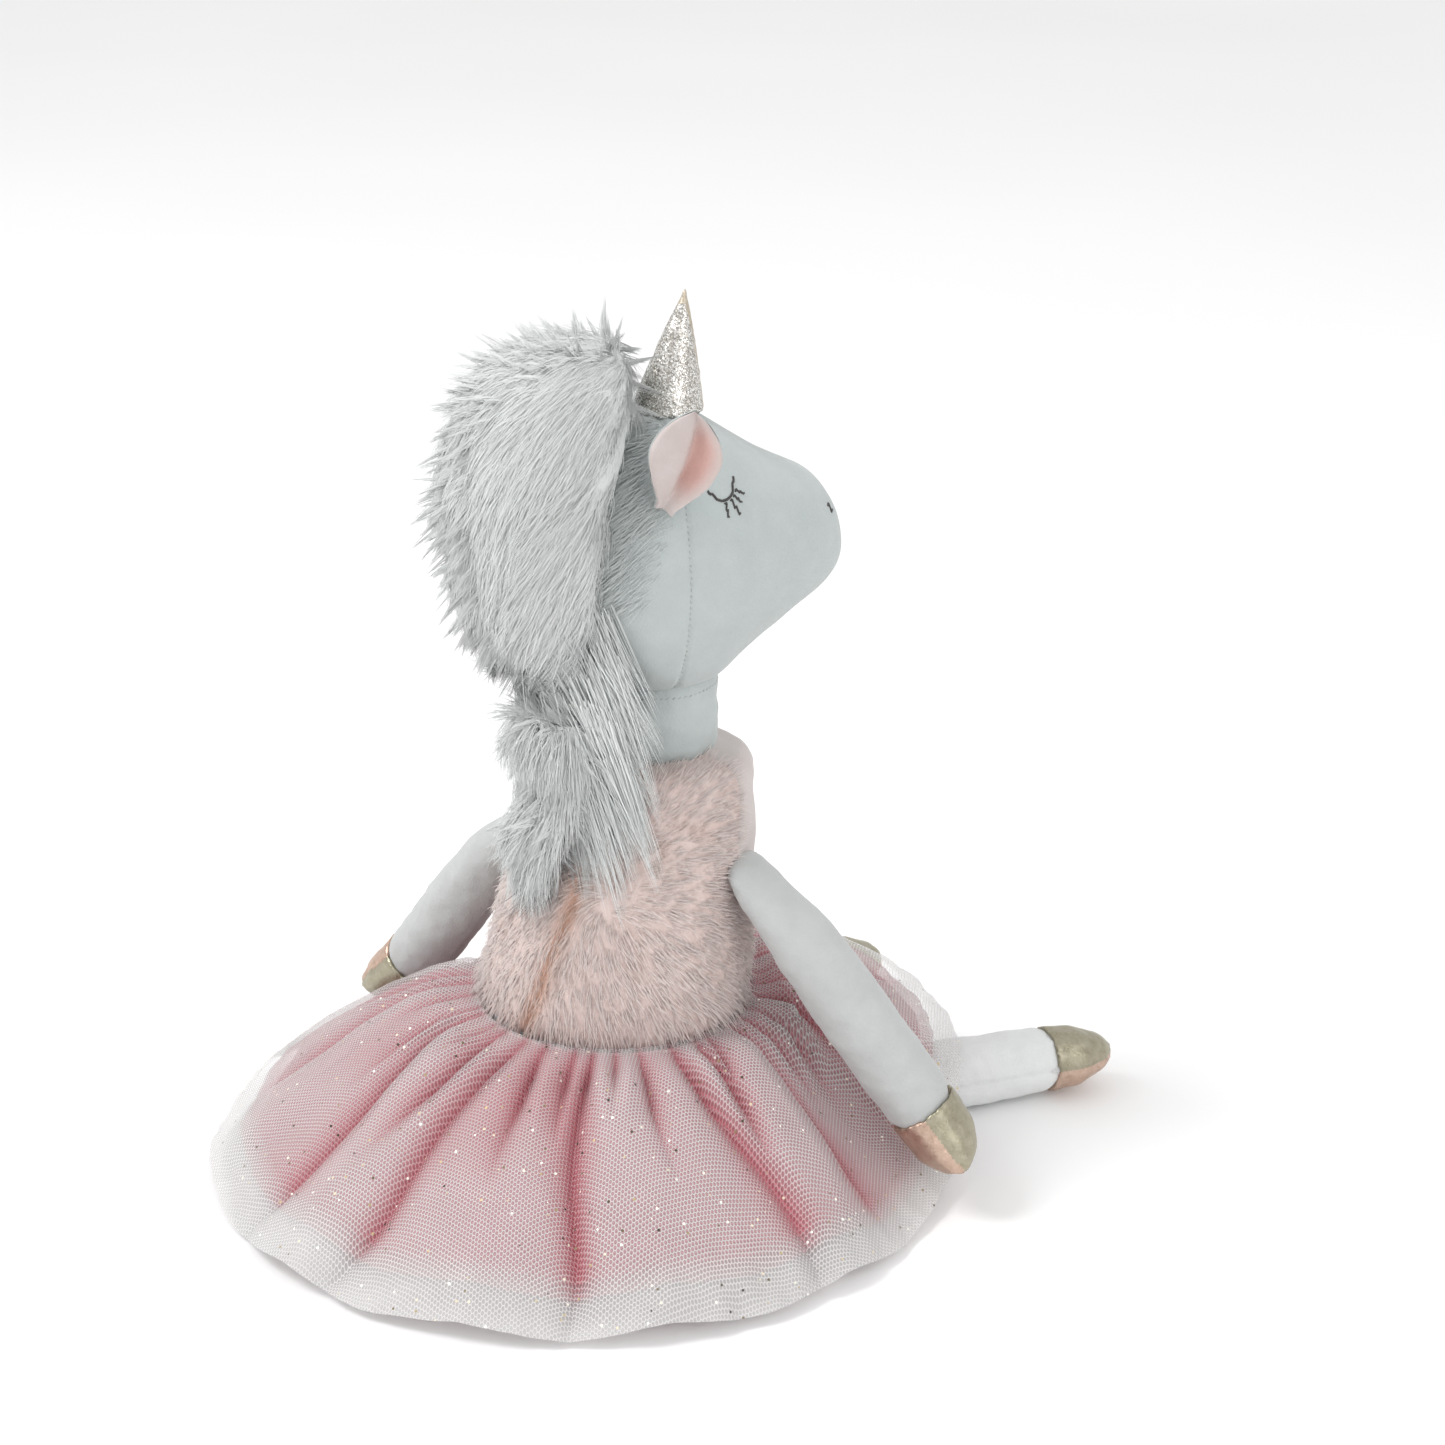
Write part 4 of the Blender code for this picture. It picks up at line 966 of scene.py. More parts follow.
def strand_mesh(name, roots, bends, tips, radius, material, rings=3, normals=None):
    """Tapered three-sided hairs, each along a curve from its root past its bend to its tip.

    With normals, each hair is lit mostly as the coat at its root is, so that the coat looks soft and even.
    """
    count = len(roots)
    sides = 3
    shares = np.linspace(0.0, 1.0, rings + 1)
    vertices = np.empty((count, rings * sides + 1, 3))
    along = np.empty((count, rings * sides + 1))
    lit = np.empty((count, rings * sides + 1, 3))
    outward = np.zeros((count, 3)) if normals is None else normals
    reach = unit(tips - roots)
    across = np.cross(reach, np.array([0.31, 0.22, 0.93]))
    across = unit(across)
    other = np.cross(reach, across)
    for i in range(rings):
        s = shares[i]
        centre = roots * (1 - s) ** 2 + bends * 2 * s * (1 - s) + tips * s ** 2
        size = (radius * (1.0 - s) ** 0.6)[:, None]
        for k in range(sides):
            turn = 2 * math.pi * k / sides
            out = across * math.cos(turn) + other * math.sin(turn)
            vertices[:, i * sides + k] = centre + out * size
            along[:, i * sides + k] = s
            lit[:, i * sides + k] = outward + out * 0.22
    vertices[:, -1] = tips
    along[:, -1] = 1.0
    lit[:, -1] = outward + reach * 0.1
    pattern = []
    cell = []
    for i in range(rings - 1):
        for k in range(sides):
            m = (k + 1) % sides
            pattern.append((i * sides + k, i * sides + m, (i + 1) * sides + m, (i + 1) * sides + k))
            cell.append(((k, i), (k + 1, i), (k + 1, i + 1), (k, i + 1)))
    last = (rings - 1) * sides
    for k in range(sides):
        pattern.append((last + k, last + (k + 1) % sides, rings * sides))
        cell.append(((k, rings - 1), (k + 1, rings - 1), (k + 0.5, rings)))
    pattern.append((2, 1, 0))
    cell.append(((0, 0), (0.5, 0.05), (1, 0)))
    flat = np.concatenate([np.array(face) for face in pattern])
    sizes = np.array([len(face) for face in pattern])
    per = rings * sides + 1
    loops = (flat[None, :] + (np.arange(count) * per)[:, None]).ravel()
    totals = np.tile(sizes, count)
    starts = np.concatenate([[0], np.cumsum(totals)[:-1]])
    mesh = bpy.data.meshes.new(name)
    mesh.vertices.add(count * per)
    mesh.vertices.foreach_set("co", vertices.astype(np.float32).ravel())
    mesh.loops.add(len(loops))
    mesh.loops.foreach_set("vertex_index", loops.astype(np.int32))
    mesh.polygons.add(len(totals))
    mesh.polygons.foreach_set("loop_start", starts.astype(np.int32))
    mesh.update(calc_edges=True)
    mesh.shade_smooth()
    if normals is not None:
        mesh.normals_split_custom_set_from_vertices(unit(lit.reshape(-1, 3)))
    grid = math.ceil(math.sqrt(count))
    corner = np.concatenate([np.array(face, float) for face in cell]) / np.array([sides, rings])
    corner = 0.1 + 0.8 * corner
    place = np.stack([np.arange(count) % grid, np.arange(count) // grid], axis=1)
    uv = (place[:, None, :] + corner[None, :, :]) / grid
    layer = mesh.uv_layers.new(name="OFBake")
    layer.data.foreach_set("uv", uv.astype(np.float32).ravel())
    mesh.materials.append(material)
    hair = link(bpy.data.objects.new(name, mesh))
    set_attribute(hair, "along", along)
    return hair


def coat(name, roots, normals, flow, length, lift, radius, lock, pull, material, rng, rings=3):
    """A coat of hair: it rises from its roots, bends over along flow and gathers into locks."""
    count = len(roots)
    wobble = rng.normal(0.0, 1.0, (count, 3))
    direction = unit(flow * (1.0 - lift)[:, None] + normals * lift[:, None] + wobble * 0.13)
    tips = roots + direction * length[:, None]
    if lock > 1:
        tips = gather_tips(roots, tips, lock, pull * (0.55 + 0.45 * rng.random(count)), rng)
    bends = roots + (direction * 0.35 + normals * 0.25) * length[:, None]
    return strand_mesh(name, roots, bends, tips, radius, material, rings, normals)


def mane_flow(head, points, normals):
    """Hair runs back and down from the forelock, and outwards from the middle of the head's back."""
    crown = np.array(head.place(0.006, 0.0, head.top - 0.002))
    away = points - crown
    down = np.array([0.0, 0.0, -1.0]) * 0.035
    return unit(tangent(away + down, normals))


def facing_out(roots, normals, tree):
    """Which places on the mane's ground face away from the head."""
    keep = np.ones(len(roots), bool)
    for number, (root, normal) in enumerate(zip(roots, normals)):
        near, _, _, distance = tree.find_nearest(Vector(root))
        if near is not None and distance < 0.02:
            keep[number] = (Vector(root) - near).dot(Vector(normal)) > -0.0005
    return keep


def downwards(normals):
    return np.tile(np.array([[0.0, 0.0, -1.0]]), (len(normals), 1))


def mane_direction(head, node, roots, normals):
    if node == "mane_nape":
        return unit(tangent(downwards(normals), normals) + normals * 0.05)
    return mane_flow(head, roots, normals)


def pointed_locks(ground, tree, head, node, count, rng):
    """Roots, bends, tips and coat normals of stiff pointed locks that stand out of the coat."""
    places, normals = scatter(ground, count, rng)
    keep = facing_out(places, normals, tree)
    if node == "mane_crown":
        keep &= np.abs(head.aside(places)) < 0.015
    places, normals = places[keep], normals[keep]
    flow = mane_direction(head, node, places, normals)
    stand = normals * 0.9 + flow * 0.42 + downwards(normals) * 0.16
    stand = unit(stand + rng.normal(0.0, 0.12, places.shape))
    length = 0.0085 + 0.0085 * rng.random(len(places)) ** 1.5
    each = 10
    roots = np.repeat(places, each, 0) + rng.normal(0.0, 0.0008, (len(places) * each, 3))
    tips = np.repeat(places + stand * length[:, None], each, 0)
    short = rng.random(len(roots)) * 0.35
    tips = tips + (roots - tips) * short[:, None] + rng.normal(0.0, 0.00018, roots.shape)
    bends = roots * 0.5 + tips * 0.5 + np.repeat(normals, each, 0) * 0.0006
    return roots, bends, tips, np.repeat(normals, each, 0)


def thin_rim(ground, tree, head):
    """Thins the crown of the mane towards its front edge, so that the fur rises gently from the velour."""
    points = mesh_points(ground)
    forward = head.forward(points)
    level = np.clip(((points[:, 2] - points[:, 2].min()) / 0.005).astype(int), 0, None)
    levels = range(level.max() + 1)
    rim = np.array([forward[level == k].max() if np.any(level == k) else 0.0 for k in levels])
    near = np.clip(1.0 - (rim[level] - forward) / 0.024, 0.0, 1.0)
    near *= np.clip((head.top - 0.006 - points[:, 2]) / 0.014, 0.0, 1.0)
    for number in np.nonzero(near > 0.0)[0]:
        spot, normal, _, _ = tree.find_nearest(Vector(points[number]))
        out = (Vector(points[number]) - spot).dot(normal)
        if out > 0.0:
            points[number] = spot + normal * (out * (1.0 - near[number]) + 0.0002)
    set_points(ground, points)


# node, hairs, pointed locks, and how far the ground under the hair lies inside the node
MANE_PARTS = (("mane_crown", 22000, 1100, 0.0022), ("mane_nape", 8500, 220, 0.0018))


def build_mane(head, skin, rng):
    tree = surface_tree(skin)
    grounds = []
    for node, count, locks, shrink in MANE_PARTS:
        ground = joined_copy(node + "_ground", [NODES[node]], LOOKS["undercoat"])
        remesh(ground, 0.0026, 8)
        outer_shell(ground)
        subdivide(ground)
        points = mesh_points(ground)
        sunk = np.zeros(len(points))
        if node == "mane_nape":
            sunk = np.clip((points[:, 2] - points[:, 2].max() + 0.014) / 0.014, 0.0, 1.0) * 0.0045
        push(ground, noise_field(points, 0.011, 4.0, 3) * 0.0009 - shrink - sunk)
        if node == "mane_crown":
            thin_rim(ground, tree, head)
        body = NODES[node]["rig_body"]
        roots, normals = scatter(ground, count, rng)
        keep = facing_out(roots, normals, tree)
        roots, normals = roots[keep], normals[keep]
        flow = mane_direction(head, node, roots, normals)
        amount = len(roots)
        nape = node == "mane_nape"
        length = (0.0150 if nape else 0.0120) * (0.75 + 0.6 * rng.random(amount))
        lift = np.clip(0.10 + 0.05 * rng.normal(size=amount), 0.03, 0.4)
        roots = roots - normals * 0.0008
        parts = [slice(0, amount // 2), slice(amount // 2, amount)]
        for number, (chosen, radius, lock, pull) in enumerate(((parts[0], 0.00015, 9, 0.20),
                                                               (parts[1], 0.00012, 4, 0.12))):
            size = len(roots[chosen])
            hair = coat(f"{node}_hair_{number + 1}", roots[chosen], normals[chosen], flow[chosen],
                        length[chosen], lift[chosen], np.full(size, radius), lock, np.full(size, pull),
                        LOOKS["mane"], rng, 4)
            finish_piece(hair, body)
        spikes, curve, ends, outward = pointed_locks(ground, tree, head, node, locks, rng)
        spikes = strand_mesh(node + "_pointed_locks", spikes, curve, ends, np.full(len(spikes), 0.00017),
                             LOOKS["mane"], 4, outward)
        finish_piece(spikes, body)
        finish_piece(ground, body, (node,))
        grounds.append(ground)
    return grounds


def lay_on(points, tree, clearance):
    """Moves points that are in or too near a surface out to the clearance."""
    laid = points.copy()
    for number, point in enumerate(points):
        near, normal, _, distance = tree.find_nearest(Vector(point))
        if near is None or distance > 0.03:
            continue
        if (Vector(point) - near).dot(normal) < clearance:
            laid[number] = near + normal * clearance
    return laid


EDGE_TRIES = 90000        # places tried on the whole head for the mane's short edge hair


def build_mane_edge(head, skin, rng):
    """Short pile where the mane meets the velour, behind the ears and the horn."""
    roots, normals = scatter(skin, EDGE_TRIES, rng)
    forward = head.forward(roots)
    high = roots[:, 2] - head.top
    line = -0.0035 + 0.30 * (high + 0.030)
    fade = np.clip((line - forward) / 0.012, 0.0, 1.0)
    keep = (high > -0.060) & (forward > -0.034) & (rng.random(len(roots)) < fade * 0.33)
    roots, normals, forward, fade = roots[keep], normals[keep], forward[keep], fade[keep]
    back = np.tile(-np.array(head.ahead)[None, :], (len(roots), 1)) + downwards(normals) * 0.7
    flow = unit(tangent(back, normals))
    length = (0.0030 + 0.0075 * fade) * (0.8 + 0.4 * rng.random(len(roots)))
    lift = np.clip(0.10 + 0.03 * rng.normal(size=len(roots)), 0.03, 0.3)
    hair = coat("mane_edge_hair", roots, normals, flow, length, lift, np.full(len(roots), 0.00015), 4,
                np.full(len(roots), 0.2), LOOKS["mane_edge"], rng)
    finish_piece(hair, "head")


FALL_CLUMPS = 485
CLUMP_HAIRS = 12


def build_fall(head, solids, rng):
    """Long locks that fall from the back of the head over the neck and onto the bodice."""
    solids = surface_tree(*solids)
    axis = Vector((head.pivot.x, head.pivot.y, 0.0))
    roots = []
    bends = []
    tips = []
    for _ in range(FALL_CLUMPS):
        across = rng.random()
        angle = math.radians(-50.0 + 124.0 * across)
        slant = math.radians(14.0 + 12.0 * rng.random())
        start = 0.234 - 0.060 * rng.random() - 0.012 * across
        reach = (0.040 + 0.042 * rng.random()) * (1.0 - 0.22 * across)
        ends = []
        for share, out in ((0.0, 0.044), (0.5, 0.038), (1.0, 0.040)):
            turned = angle + slant * share
            way = TO_VIEW * math.sin(turned) - VIEW_RIGHT * math.cos(turned)
            ends.append(axis + way * out + Vector((0, 0, start - reach * share)))
        for _ in range(CLUMP_HAIRS):
            spread = rng.normal(0.0, 0.0014, 3)
            roots.append(np.array(ends[0]) + spread * 1.2)
            bends.append(np.array(ends[1]) + spread)
            tips.append(np.array(ends[2]) + spread * 0.18 + np.array([0, 0, 0.012 * rng.random()]))
    roots = lay_on(np.array(roots), solids, 0.0005)
    bends = lay_on(np.array(bends), solids, 0.0048)
    tips = lay_on(np.array(tips), solids, 0.0030)
    outward = (roots + tips) / 2 - np.array(axis)
    outward[:, 2] = 0.012
    hair = strand_mesh("mane_falling_locks", roots, bends, tips, np.full(len(roots), 0.00016), LOOKS["mane"],
                       6, unit(outward))
    finish_piece(hair, NODES["mane_nape"]["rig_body"])


# ---- body ------------------------------------------------------------------------------------------
def panel_split(points, first, second):
    """Distance to the first panel less that to the second: 0 on the seam between them."""
    found = []
    for node in (first, second):
        tree = surface_tree(node)
        found.append(np.array([tree.find_nearest(Vector(p))[3] for p in points]))
    return found[0] - found[1]


def ring_mesh(name, centre, ring, tube, material):
    vertices = []
    around, across = 60, 18
    for k in range(around):
        a = 2 * math.pi * k / around
        for m in range(across):
            b = 2 * math.pi * m / across
            r = ring + tube * math.cos(b)
            vertices.append((centre.x + math.cos(a) * r, centre.y + math.sin(a) * r, centre.z + tube * math.sin(b)))
    return mesh_object(name, vertices, ring_faces(around, across, True), material)


def nearest_panel(points, panels):
    trees = [surface_tree(panel) for panel in panels]
    return np.array([np.argmin([tree.find_nearest(Vector(p))[3] for tree in trees]) for p in points])


BODICE_PANELS = ("bodice_front", "bodice_back_left", "bodice_back_right")
BODICE_HAIRS = 21000
BODICE_PILE = 0.0062      # length of the bodice's fur
BIB_HEIGHT = 0.052        # where the smooth bib over the chest starts, from the bodice's lower edge


def on_bib(points, panels, low):
    """Which points lie on the smooth bib."""
    return (nearest_panel(points, panels) == 0) & (points[:, 2] > low.z + BIB_HEIGHT)


def bodice_ground(panels, low, high):
    """The cloth under the fur, filled, with a rolled neckline and a sunken seam down the back, with painted shade
    along the seam.
    """
    neck, _ = joint_place("neck_nod")
    look = LOOKS["bodice_ground"]
    roll = ring_mesh("neckline_roll", neck - Vector((0, 0, 0.0135)), 0.0275, 0.0080, look)
    plug = ring_mesh("neck_plug", neck - Vector((0, 0, 0.0140)), 0.0130, 0.0125, look)
    inside = [NODES["torso_filling"], roll, plug]
    ground = solid_copy("bodice_ground", panels + inside, look, 0.0013, 0.0032)
    bpy.data.objects.remove(roll)
    bpy.data.objects.remove(plug)
    stuff(ground, 3.0, 16, 0.0012,
          lambda p: ((p[:, 2] < low.z + 0.006) | (p[:, 2] > high.z - 0.012)).astype(float))
    subdivide(ground)
    points = mesh_points(ground)
    back = panel_split(points, panels[1], panels[2])
    seam = groove(back, 0.0016) * (points[:, 1] > 0.0)
    lumps = noise_field(points, 0.016, 6.0) * 0.0009
    push(ground, np.clip(lumps - seam * 0.0016 + 0.0002, -0.0011, None))
    ground.data.materials.append(LOOKS["bodice_smooth"])
    # painted shade: the deep colour along the sunken back seam
    set_attribute(ground, "shade", groove(back, 0.0035) * 0.8)
    bib = on_bib(mesh_points(ground), panels, low)
    for polygon in ground.data.polygons:
        polygon.material_index = int(bib[polygon.vertices[0]])
    finish_piece(ground, "torso", BODICE_PANELS)
    return ground


def bodice_flow(roots, normals, low, hem):
    """The fur runs out of a whorl in the back, and straight down at the hem."""
    whorl = np.array([0.043 * math.sin(VIEW_TURN), -0.040 * math.cos(VIEW_TURN), low.z + 0.050])
    away = roots - whorl
    fall = np.array([0.0, 0.0, -0.02])
    flow = unit(tangent(away + fall * (np.linalg.norm(away, axis=1) / 0.03)[:, None], normals))
    flow = unit(flow + np.cross(normals, flow) * 0.35)
    return unit(flow * (1.0 - hem)[:, None] + downwards(normals) * hem[:, None])


def build_bodice(rng):
    panels = [NODES[name] for name in BODICE_PANELS]
    low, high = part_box("bodice_front")
    ground = bodice_ground(panels, low, high)
    roots, normals = scatter(ground, BODICE_HAIRS, rng)
    inside = (roots[:, 2] > low.z - 0.001) & ~on_bib(roots, panels, low)
    roots, normals = roots[inside], normals[inside]
    hem = np.clip(1.0 - (roots[:, 2] - low.z) / 0.012, 0.0, 1.0)
    flow = bodice_flow(roots, normals, low, hem)
    amount = len(roots)
    length = BODICE_PILE * (0.75 + 0.5 * rng.random(amount)) * (1.0 + 0.5 * hem)
    lift = np.clip(0.27 + 0.09 * rng.normal(size=amount) + 0.12 * hem, 0.08, 0.7)
    split = panel_split(roots, panels[1], panels[2])
    patches = noise_field(roots, 0.013, 21.0)
    # spot: painted shade along the back seam, where the fur parts, broken up by random patches
    spot = np.clip(groove(split, 0.0042) * (roots[:, 1] > 0.0) * 0.75 * (0.55 + patches), 0.0, 0.8)
    length *= 1.0 - 0.35 * groove(split, 0.0022)
    order = np.argsort(roots[:, 0] * math.cos(VIEW_TURN) + roots[:, 1] * math.sin(VIEW_TURN))
    for number, chosen in enumerate(np.array_split(order, 2)):
        hair = coat(f"bodice_fur_{number + 1}", roots[chosen] - normals[chosen] * 0.0004, normals[chosen],
                    flow[chosen], length[chosen], lift[chosen], np.full(len(chosen), 0.00024), 7,
                    np.full(len(chosen), 0.42), LOOKS["bodice"], rng)
        per = len(hair.data.vertices) // len(chosen)
        set_attribute(hair, "spot", np.repeat(spot[chosen], per))
        finish_piece(hair, "torso")
    return ground


def build_lower_body():
    nodes = [NODES[n] for n in ("lower_body_cover", "seat_panel", "bean_bag", "torso_filling")]
    skin = joined_copy("lower_body_plush", nodes, LOOKS["plush"])
    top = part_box("lower_body_cover")[1].z
    remesh(skin, 0.0034, 3)
    outer_shell(skin)
    builder = bmesh.new()
    builder.from_mesh(skin.data)
    bmesh.ops.bisect_plane(builder, geom=builder.verts[:] + builder.edges[:] + builder.faces[:],
                           plane_co=(0, 0, top), plane_no=(0, 0, 1), clear_outer=True)
    bmesh.ops.holes_fill(builder, edges=[e for e in builder.edges if e.is_boundary])
    builder.to_mesh(skin.data)
    builder.free()
    skin.data.shade_smooth()
    points = mesh_points(skin)
    inward = noise_field(points, 0.014, 8.0) * 0.0006 - 0.0006
    points = points + normals_of(skin) * inward[:, None]
    points[:, 2] = np.clip(points[:, 2], 0.0, None)
    set_points(skin, points)
    finish_piece(skin, "torso", ("lower_body_cover", "seat_panel"))


def limb_line(node):
    """The middle and direction of a limb."""
    points = mesh_points(node)
    centre = points.mean(0)
    _, _, axes = np.linalg.svd(points - centre, full_matrices=False)
    return centre, axes[0]


def build_limb(title, covers, filling, body, tuck=None, voxel=0.0024):
    nodes = [NODES[n] for n in covers] + [NODES[filling]]
    # Arms and legs take lighter copies of the white plush: painted light for how they are lit.
    skin = joined_copy(title, nodes, LOOKS["leg" if len(covers) == 2 else "limb"])
    remesh(skin, voxel, 3)
    outer_shell(skin)
    stuff(skin, 2.5, 12, 0.0007)
    subdivide(skin)
    points = mesh_points(skin)
    swell = noise_field(points, 0.013, 9.0, 3) * 0.0007
    dent = np.zeros(len(points))
    if len(covers) == 2:
        dent = groove(panel_split(points, nodes[0], nodes[1]), 0.0013) * 0.0009
    else:
        centre, axis = limb_line(nodes[0])
        offset = points - centre
        offset = offset - np.outer(offset @ axis, axis)
        side = np.cross(axis, np.array([0.0, 0.0, 1.0]))
        side /= np.linalg.norm(side)
        under = np.cross(side, axis)
        if under[2] > 0.0:
            under = -under
        dent = groove(offset @ side, 0.0009) * (offset @ under > 0.0) * 0.0008
    push(skin, swell - dent - 0.0003)
    points = mesh_points(skin)
    if tuck is not None:
        inward = -Vector((tuck.x, tuck.y, 0.0)).normalized() * 0.0062 + Vector((0.0, 0.0, 0.0025))
        near = np.clip(1.0 - np.linalg.norm(points - np.array(tuck), axis=1) / 0.034, 0.0, 1.0)
        points += np.array(inward) * (near * near * (3.0 - 2.0 * near))[:, None]
    points[:, 2] = np.clip(points[:, 2], 0.0003, None)
    set_points(skin, points)
    finish_piece(skin, body, covers)
    return skin


def hull_plug(name, nodes, scale):
    """A convex solid that fills thin shells from inside."""
    points = np.concatenate([mesh_points(node) for node in nodes])
    centre = points.mean(0)
    builder = bmesh.new()
    for point in centre + (points - centre) * scale:
        builder.verts.new(point)
    hull = bmesh.ops.convex_hull(builder, input=builder.verts)
    unused = hull["geom_interior"] + hull["geom_unused"]
    inside = {item for item in unused if isinstance(item, bmesh.types.BMVert)}
    bmesh.ops.delete(builder, geom=list(inside), context="VERTS")
    return built_object(name, builder)


def build_hoof(title, names, body, keys):
    """Two panels of crinkled metallic cloth with a puckered seam between them."""
    panels = [NODES[n] for n in names]
    plug = hull_plug(title + "_plug", panels, 0.90)
    hoof = joined_copy(title, panels + [plug], LOOKS[keys[0]])
    bpy.data.objects.remove(plug)
    remesh(hoof, 0.0013, 4)
    outer_shell(hoof)
    stuff(hoof, 2.5, 10, 0.0006)
    points = mesh_points(hoof)
    split = panel_split(points, *panels)
    crumple = noise_field(points, 0.0085, 12.0, 2) * 0.0004 + noise_field(points, 0.0026, 13.0, 2) * 0.00010
    pucker = np.sin(noise_field(points, 0.0035, 14.0, 1) * 9.0) * groove(split, 0.003) * 0.0002
    push(hoof, crumple + pucker - groove(split, 0.0010) * 0.0008)
    points = mesh_points(hoof)
    points[:, 2] = np.clip(points[:, 2], 0.0003, None)
    set_points(hoof, points)
    hoof.data.materials.append(LOOKS[keys[1]])
    for polygon in hoof.data.polygons:
        polygon.material_index = int(np.mean([split[k] for k in polygon.vertices]) > 0.0)
    finish_piece(hoof, body, names)


def build_limbs():
    for name in SIDES:
        arm = "arm_" + name
        leg = "leg_" + name
        shoulder, _ = joint_place(arm + "_raise")
        build_limb("arm_plush_" + name, ["arm_cover_" + name], "arm_filling_" + name, arm, shoulder)
        build_limb("leg_plush_" + name, ["leg_cover_top_" + name, "leg_cover_bottom_" + name],
                   "leg_filling_" + name, leg)
        build_hoof("hand_hoof_" + name, ["hand_hoof_outer_" + name, "hand_hoof_inner_" + name], arm,
                   ("copper", "gold"))
        build_hoof("foot_hoof_" + name, ["foot_hoof_top_" + name, "foot_hoof_bottom_" + name], leg,
                   ("gold", "copper"))


# ---- skirt -----------------------------------------------------------------------------------------
SKIRT_ANGLES = 900        # points around a layer
SKIRT_ROWS = 64           # from the waist to the hem
CREASES = 36
WAIST_TUCK = 0.0045       # how far a layer's first row goes in under the bodice


def direction(angle):
    """Unit vector at an angle from straight ahead towards the doll's right."""
    return Vector((-math.sin(angle), -math.cos(angle), 0.0))


def layer_edges(tree, angle, outermost):
    """Inner and outer radius of a skirt layer at an angle."""
    way = direction(angle)
    found = []
    for radii in (np.arange(0.035, 0.08, 0.0005), np.arange(outermost + 0.002, 0.06, -0.0005)):
        edge = None
        for r in radii:
            if tree.ray_cast(way * float(r) + Vector((0, 0, 0.2)), Vector((0, 0, -1)))[0] is not None:
                edge = float(r)
                break
        found.append(edge)
    return found


def smooth_ring(values, steps):
    values = np.array(values, float)
    for _ in range(steps):
        values = (np.roll(values, 1) + values * 2 + np.roll(values, -1)) / 4
    return values


class Folds:
    """Creases that run from the waist towards the hem, with soft ridges between them."""

    def __init__(self, rng, hands):
        order = np.arange(CREASES)
        self.hands = hands
        self.start = (order + rng.uniform(-0.30, 0.30, CREASES)) * 2 * math.pi / CREASES
        self.lean = rng.normal(0.0, 0.09, CREASES)
        self.phase = rng.uniform(0.0, 6.28, CREASES)
        long = order % 3 == 0
        self.length = np.where(long, rng.uniform(0.85, 1.3, CREASES), rng.uniform(0.25, 0.70, CREASES))
        self.depth = np.where(long, rng.uniform(0.90, 1.0, CREASES), rng.uniform(0.7, 1.0, CREASES))

    def at(self, angles, share):
        """How far each place stands out over the flat layer, and how much of a ridge it is, from 0 to 1."""
        radius = 0.050 + 0.084 * share
        valley = np.zeros(len(angles))
        for k in range(CREASES):
            line = self.start[k] + self.lean[k] * share + 0.06 * share * np.sin(share * 5.0 + self.phase[k])
            off = ((angles - line + math.pi) % (2 * math.pi) - math.pi) * radius
            width = 0.0019 + 0.0056 * share
            fade = np.clip((self.length[k] - share) / 0.35, 0.0, 1.0)
            valley = np.maximum(valley, self.depth[k] * fade * np.exp(-np.abs(off) / width))
        ridge = 1.0 - valley
        places = zip(np.cos(angles) * 2.6, np.sin(angles) * 2.6, share * 1.3 + 3.0)
        soft = np.array([noise.fractal(Vector(place), 1, 2, 2) for place in places])
        ridge = np.clip(ridge * (0.86 + 0.30 * soft), 0.0, 1.1)
        depth = 0.0022 + 0.0086 * np.clip(share / 0.11, 0.0, 1.0) - 0.0048 * share
        calm = np.ones(len(angles))
        for hand in self.hands:
            off = (angles - hand + math.pi) % (2 * math.pi) - math.pi
            calm -= 0.80 * np.exp(-(off / math.radians(17.0)) ** 2) * np.clip((share - 0.15) / 0.2, 0.0, 1.0)
        over_legs = np.clip((math.radians(75.0) - np.abs(((angles + math.pi) % (2 * math.pi)) - math.pi
                                                         - math.radians(10.0))) / 0.35, 0.0, 1.0)
        sunk = 0.42 * (1.0 - over_legs)
        return (ridge - sunk) * depth * np.clip(calm, 0.15, 1.0), np.clip(ridge, 0.0, 1.0)


def layer_rings(node, tree, angles):
    """The inner and outer radius of a CAD layer at each angle, and its largest reach."""
    low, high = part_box(node)
    outermost = max(high.x, high.y, -low.x, -low.y)
    coarse = angles[::5]
    edges = [layer_edges(tree, a, outermost) for a in coarse]
    inner = np.interp(angles, coarse, smooth_ring([e[0] for e in edges], 2), period=2 * math.pi)
    hem = np.interp(angles, coarse, smooth_ring([e[1] for e in edges], 1), period=2 * math.pi)
    return inner, hem, outermost


def layer_grid(tree, angles, inner, hem, top):
    """A smooth grid on top of the CAD layer, from its waist to its hem."""
    grid = np.empty((SKIRT_ROWS + 1, SKIRT_ANGLES, 3))
    for j, angle in enumerate(angles):
        way = direction(angle)
        start = inner[j] + 0.0008
        reach = hem[j] - 0.0006
        for i in range(SKIRT_ROWS + 1):
            r = start + (reach - start) * i / SKIRT_ROWS
            hit = tree.ray_cast(way * r + Vector((0, 0, 0.2)), Vector((0, 0, -1)))[0]
            if hit is None:
                hit = tree.find_nearest(way * r + Vector((0, 0, grid[i - 1, j, 2] if i else top)))[0]
            grid[i, j] = (way.x * r, way.y * r, hit.z - 0.0004)
    for _ in range(3):
        grid[1:-1, :, 2] = (grid[:-2, :, 2] + grid[1:-1, :, 2] * 2 + grid[2:, :, 2]) / 4
    for _ in range(6):
        height = grid[:, :, 2]
        grid[:, :, 2] = (np.roll(height, 1, 1) + height * 2 + np.roll(height, -1, 1)) / 4
    return grid


def upward_normals(grid):
    down = np.gradient(grid, axis=0)
    around = (np.roll(grid, -1, 1) - np.roll(grid, 1, 1)) / 2
    normal = unit(np.cross(around.reshape(-1, 3), down.reshape(-1, 3)))
    normal[normal[:, 2] < 0.0] *= -1.0
    return normal


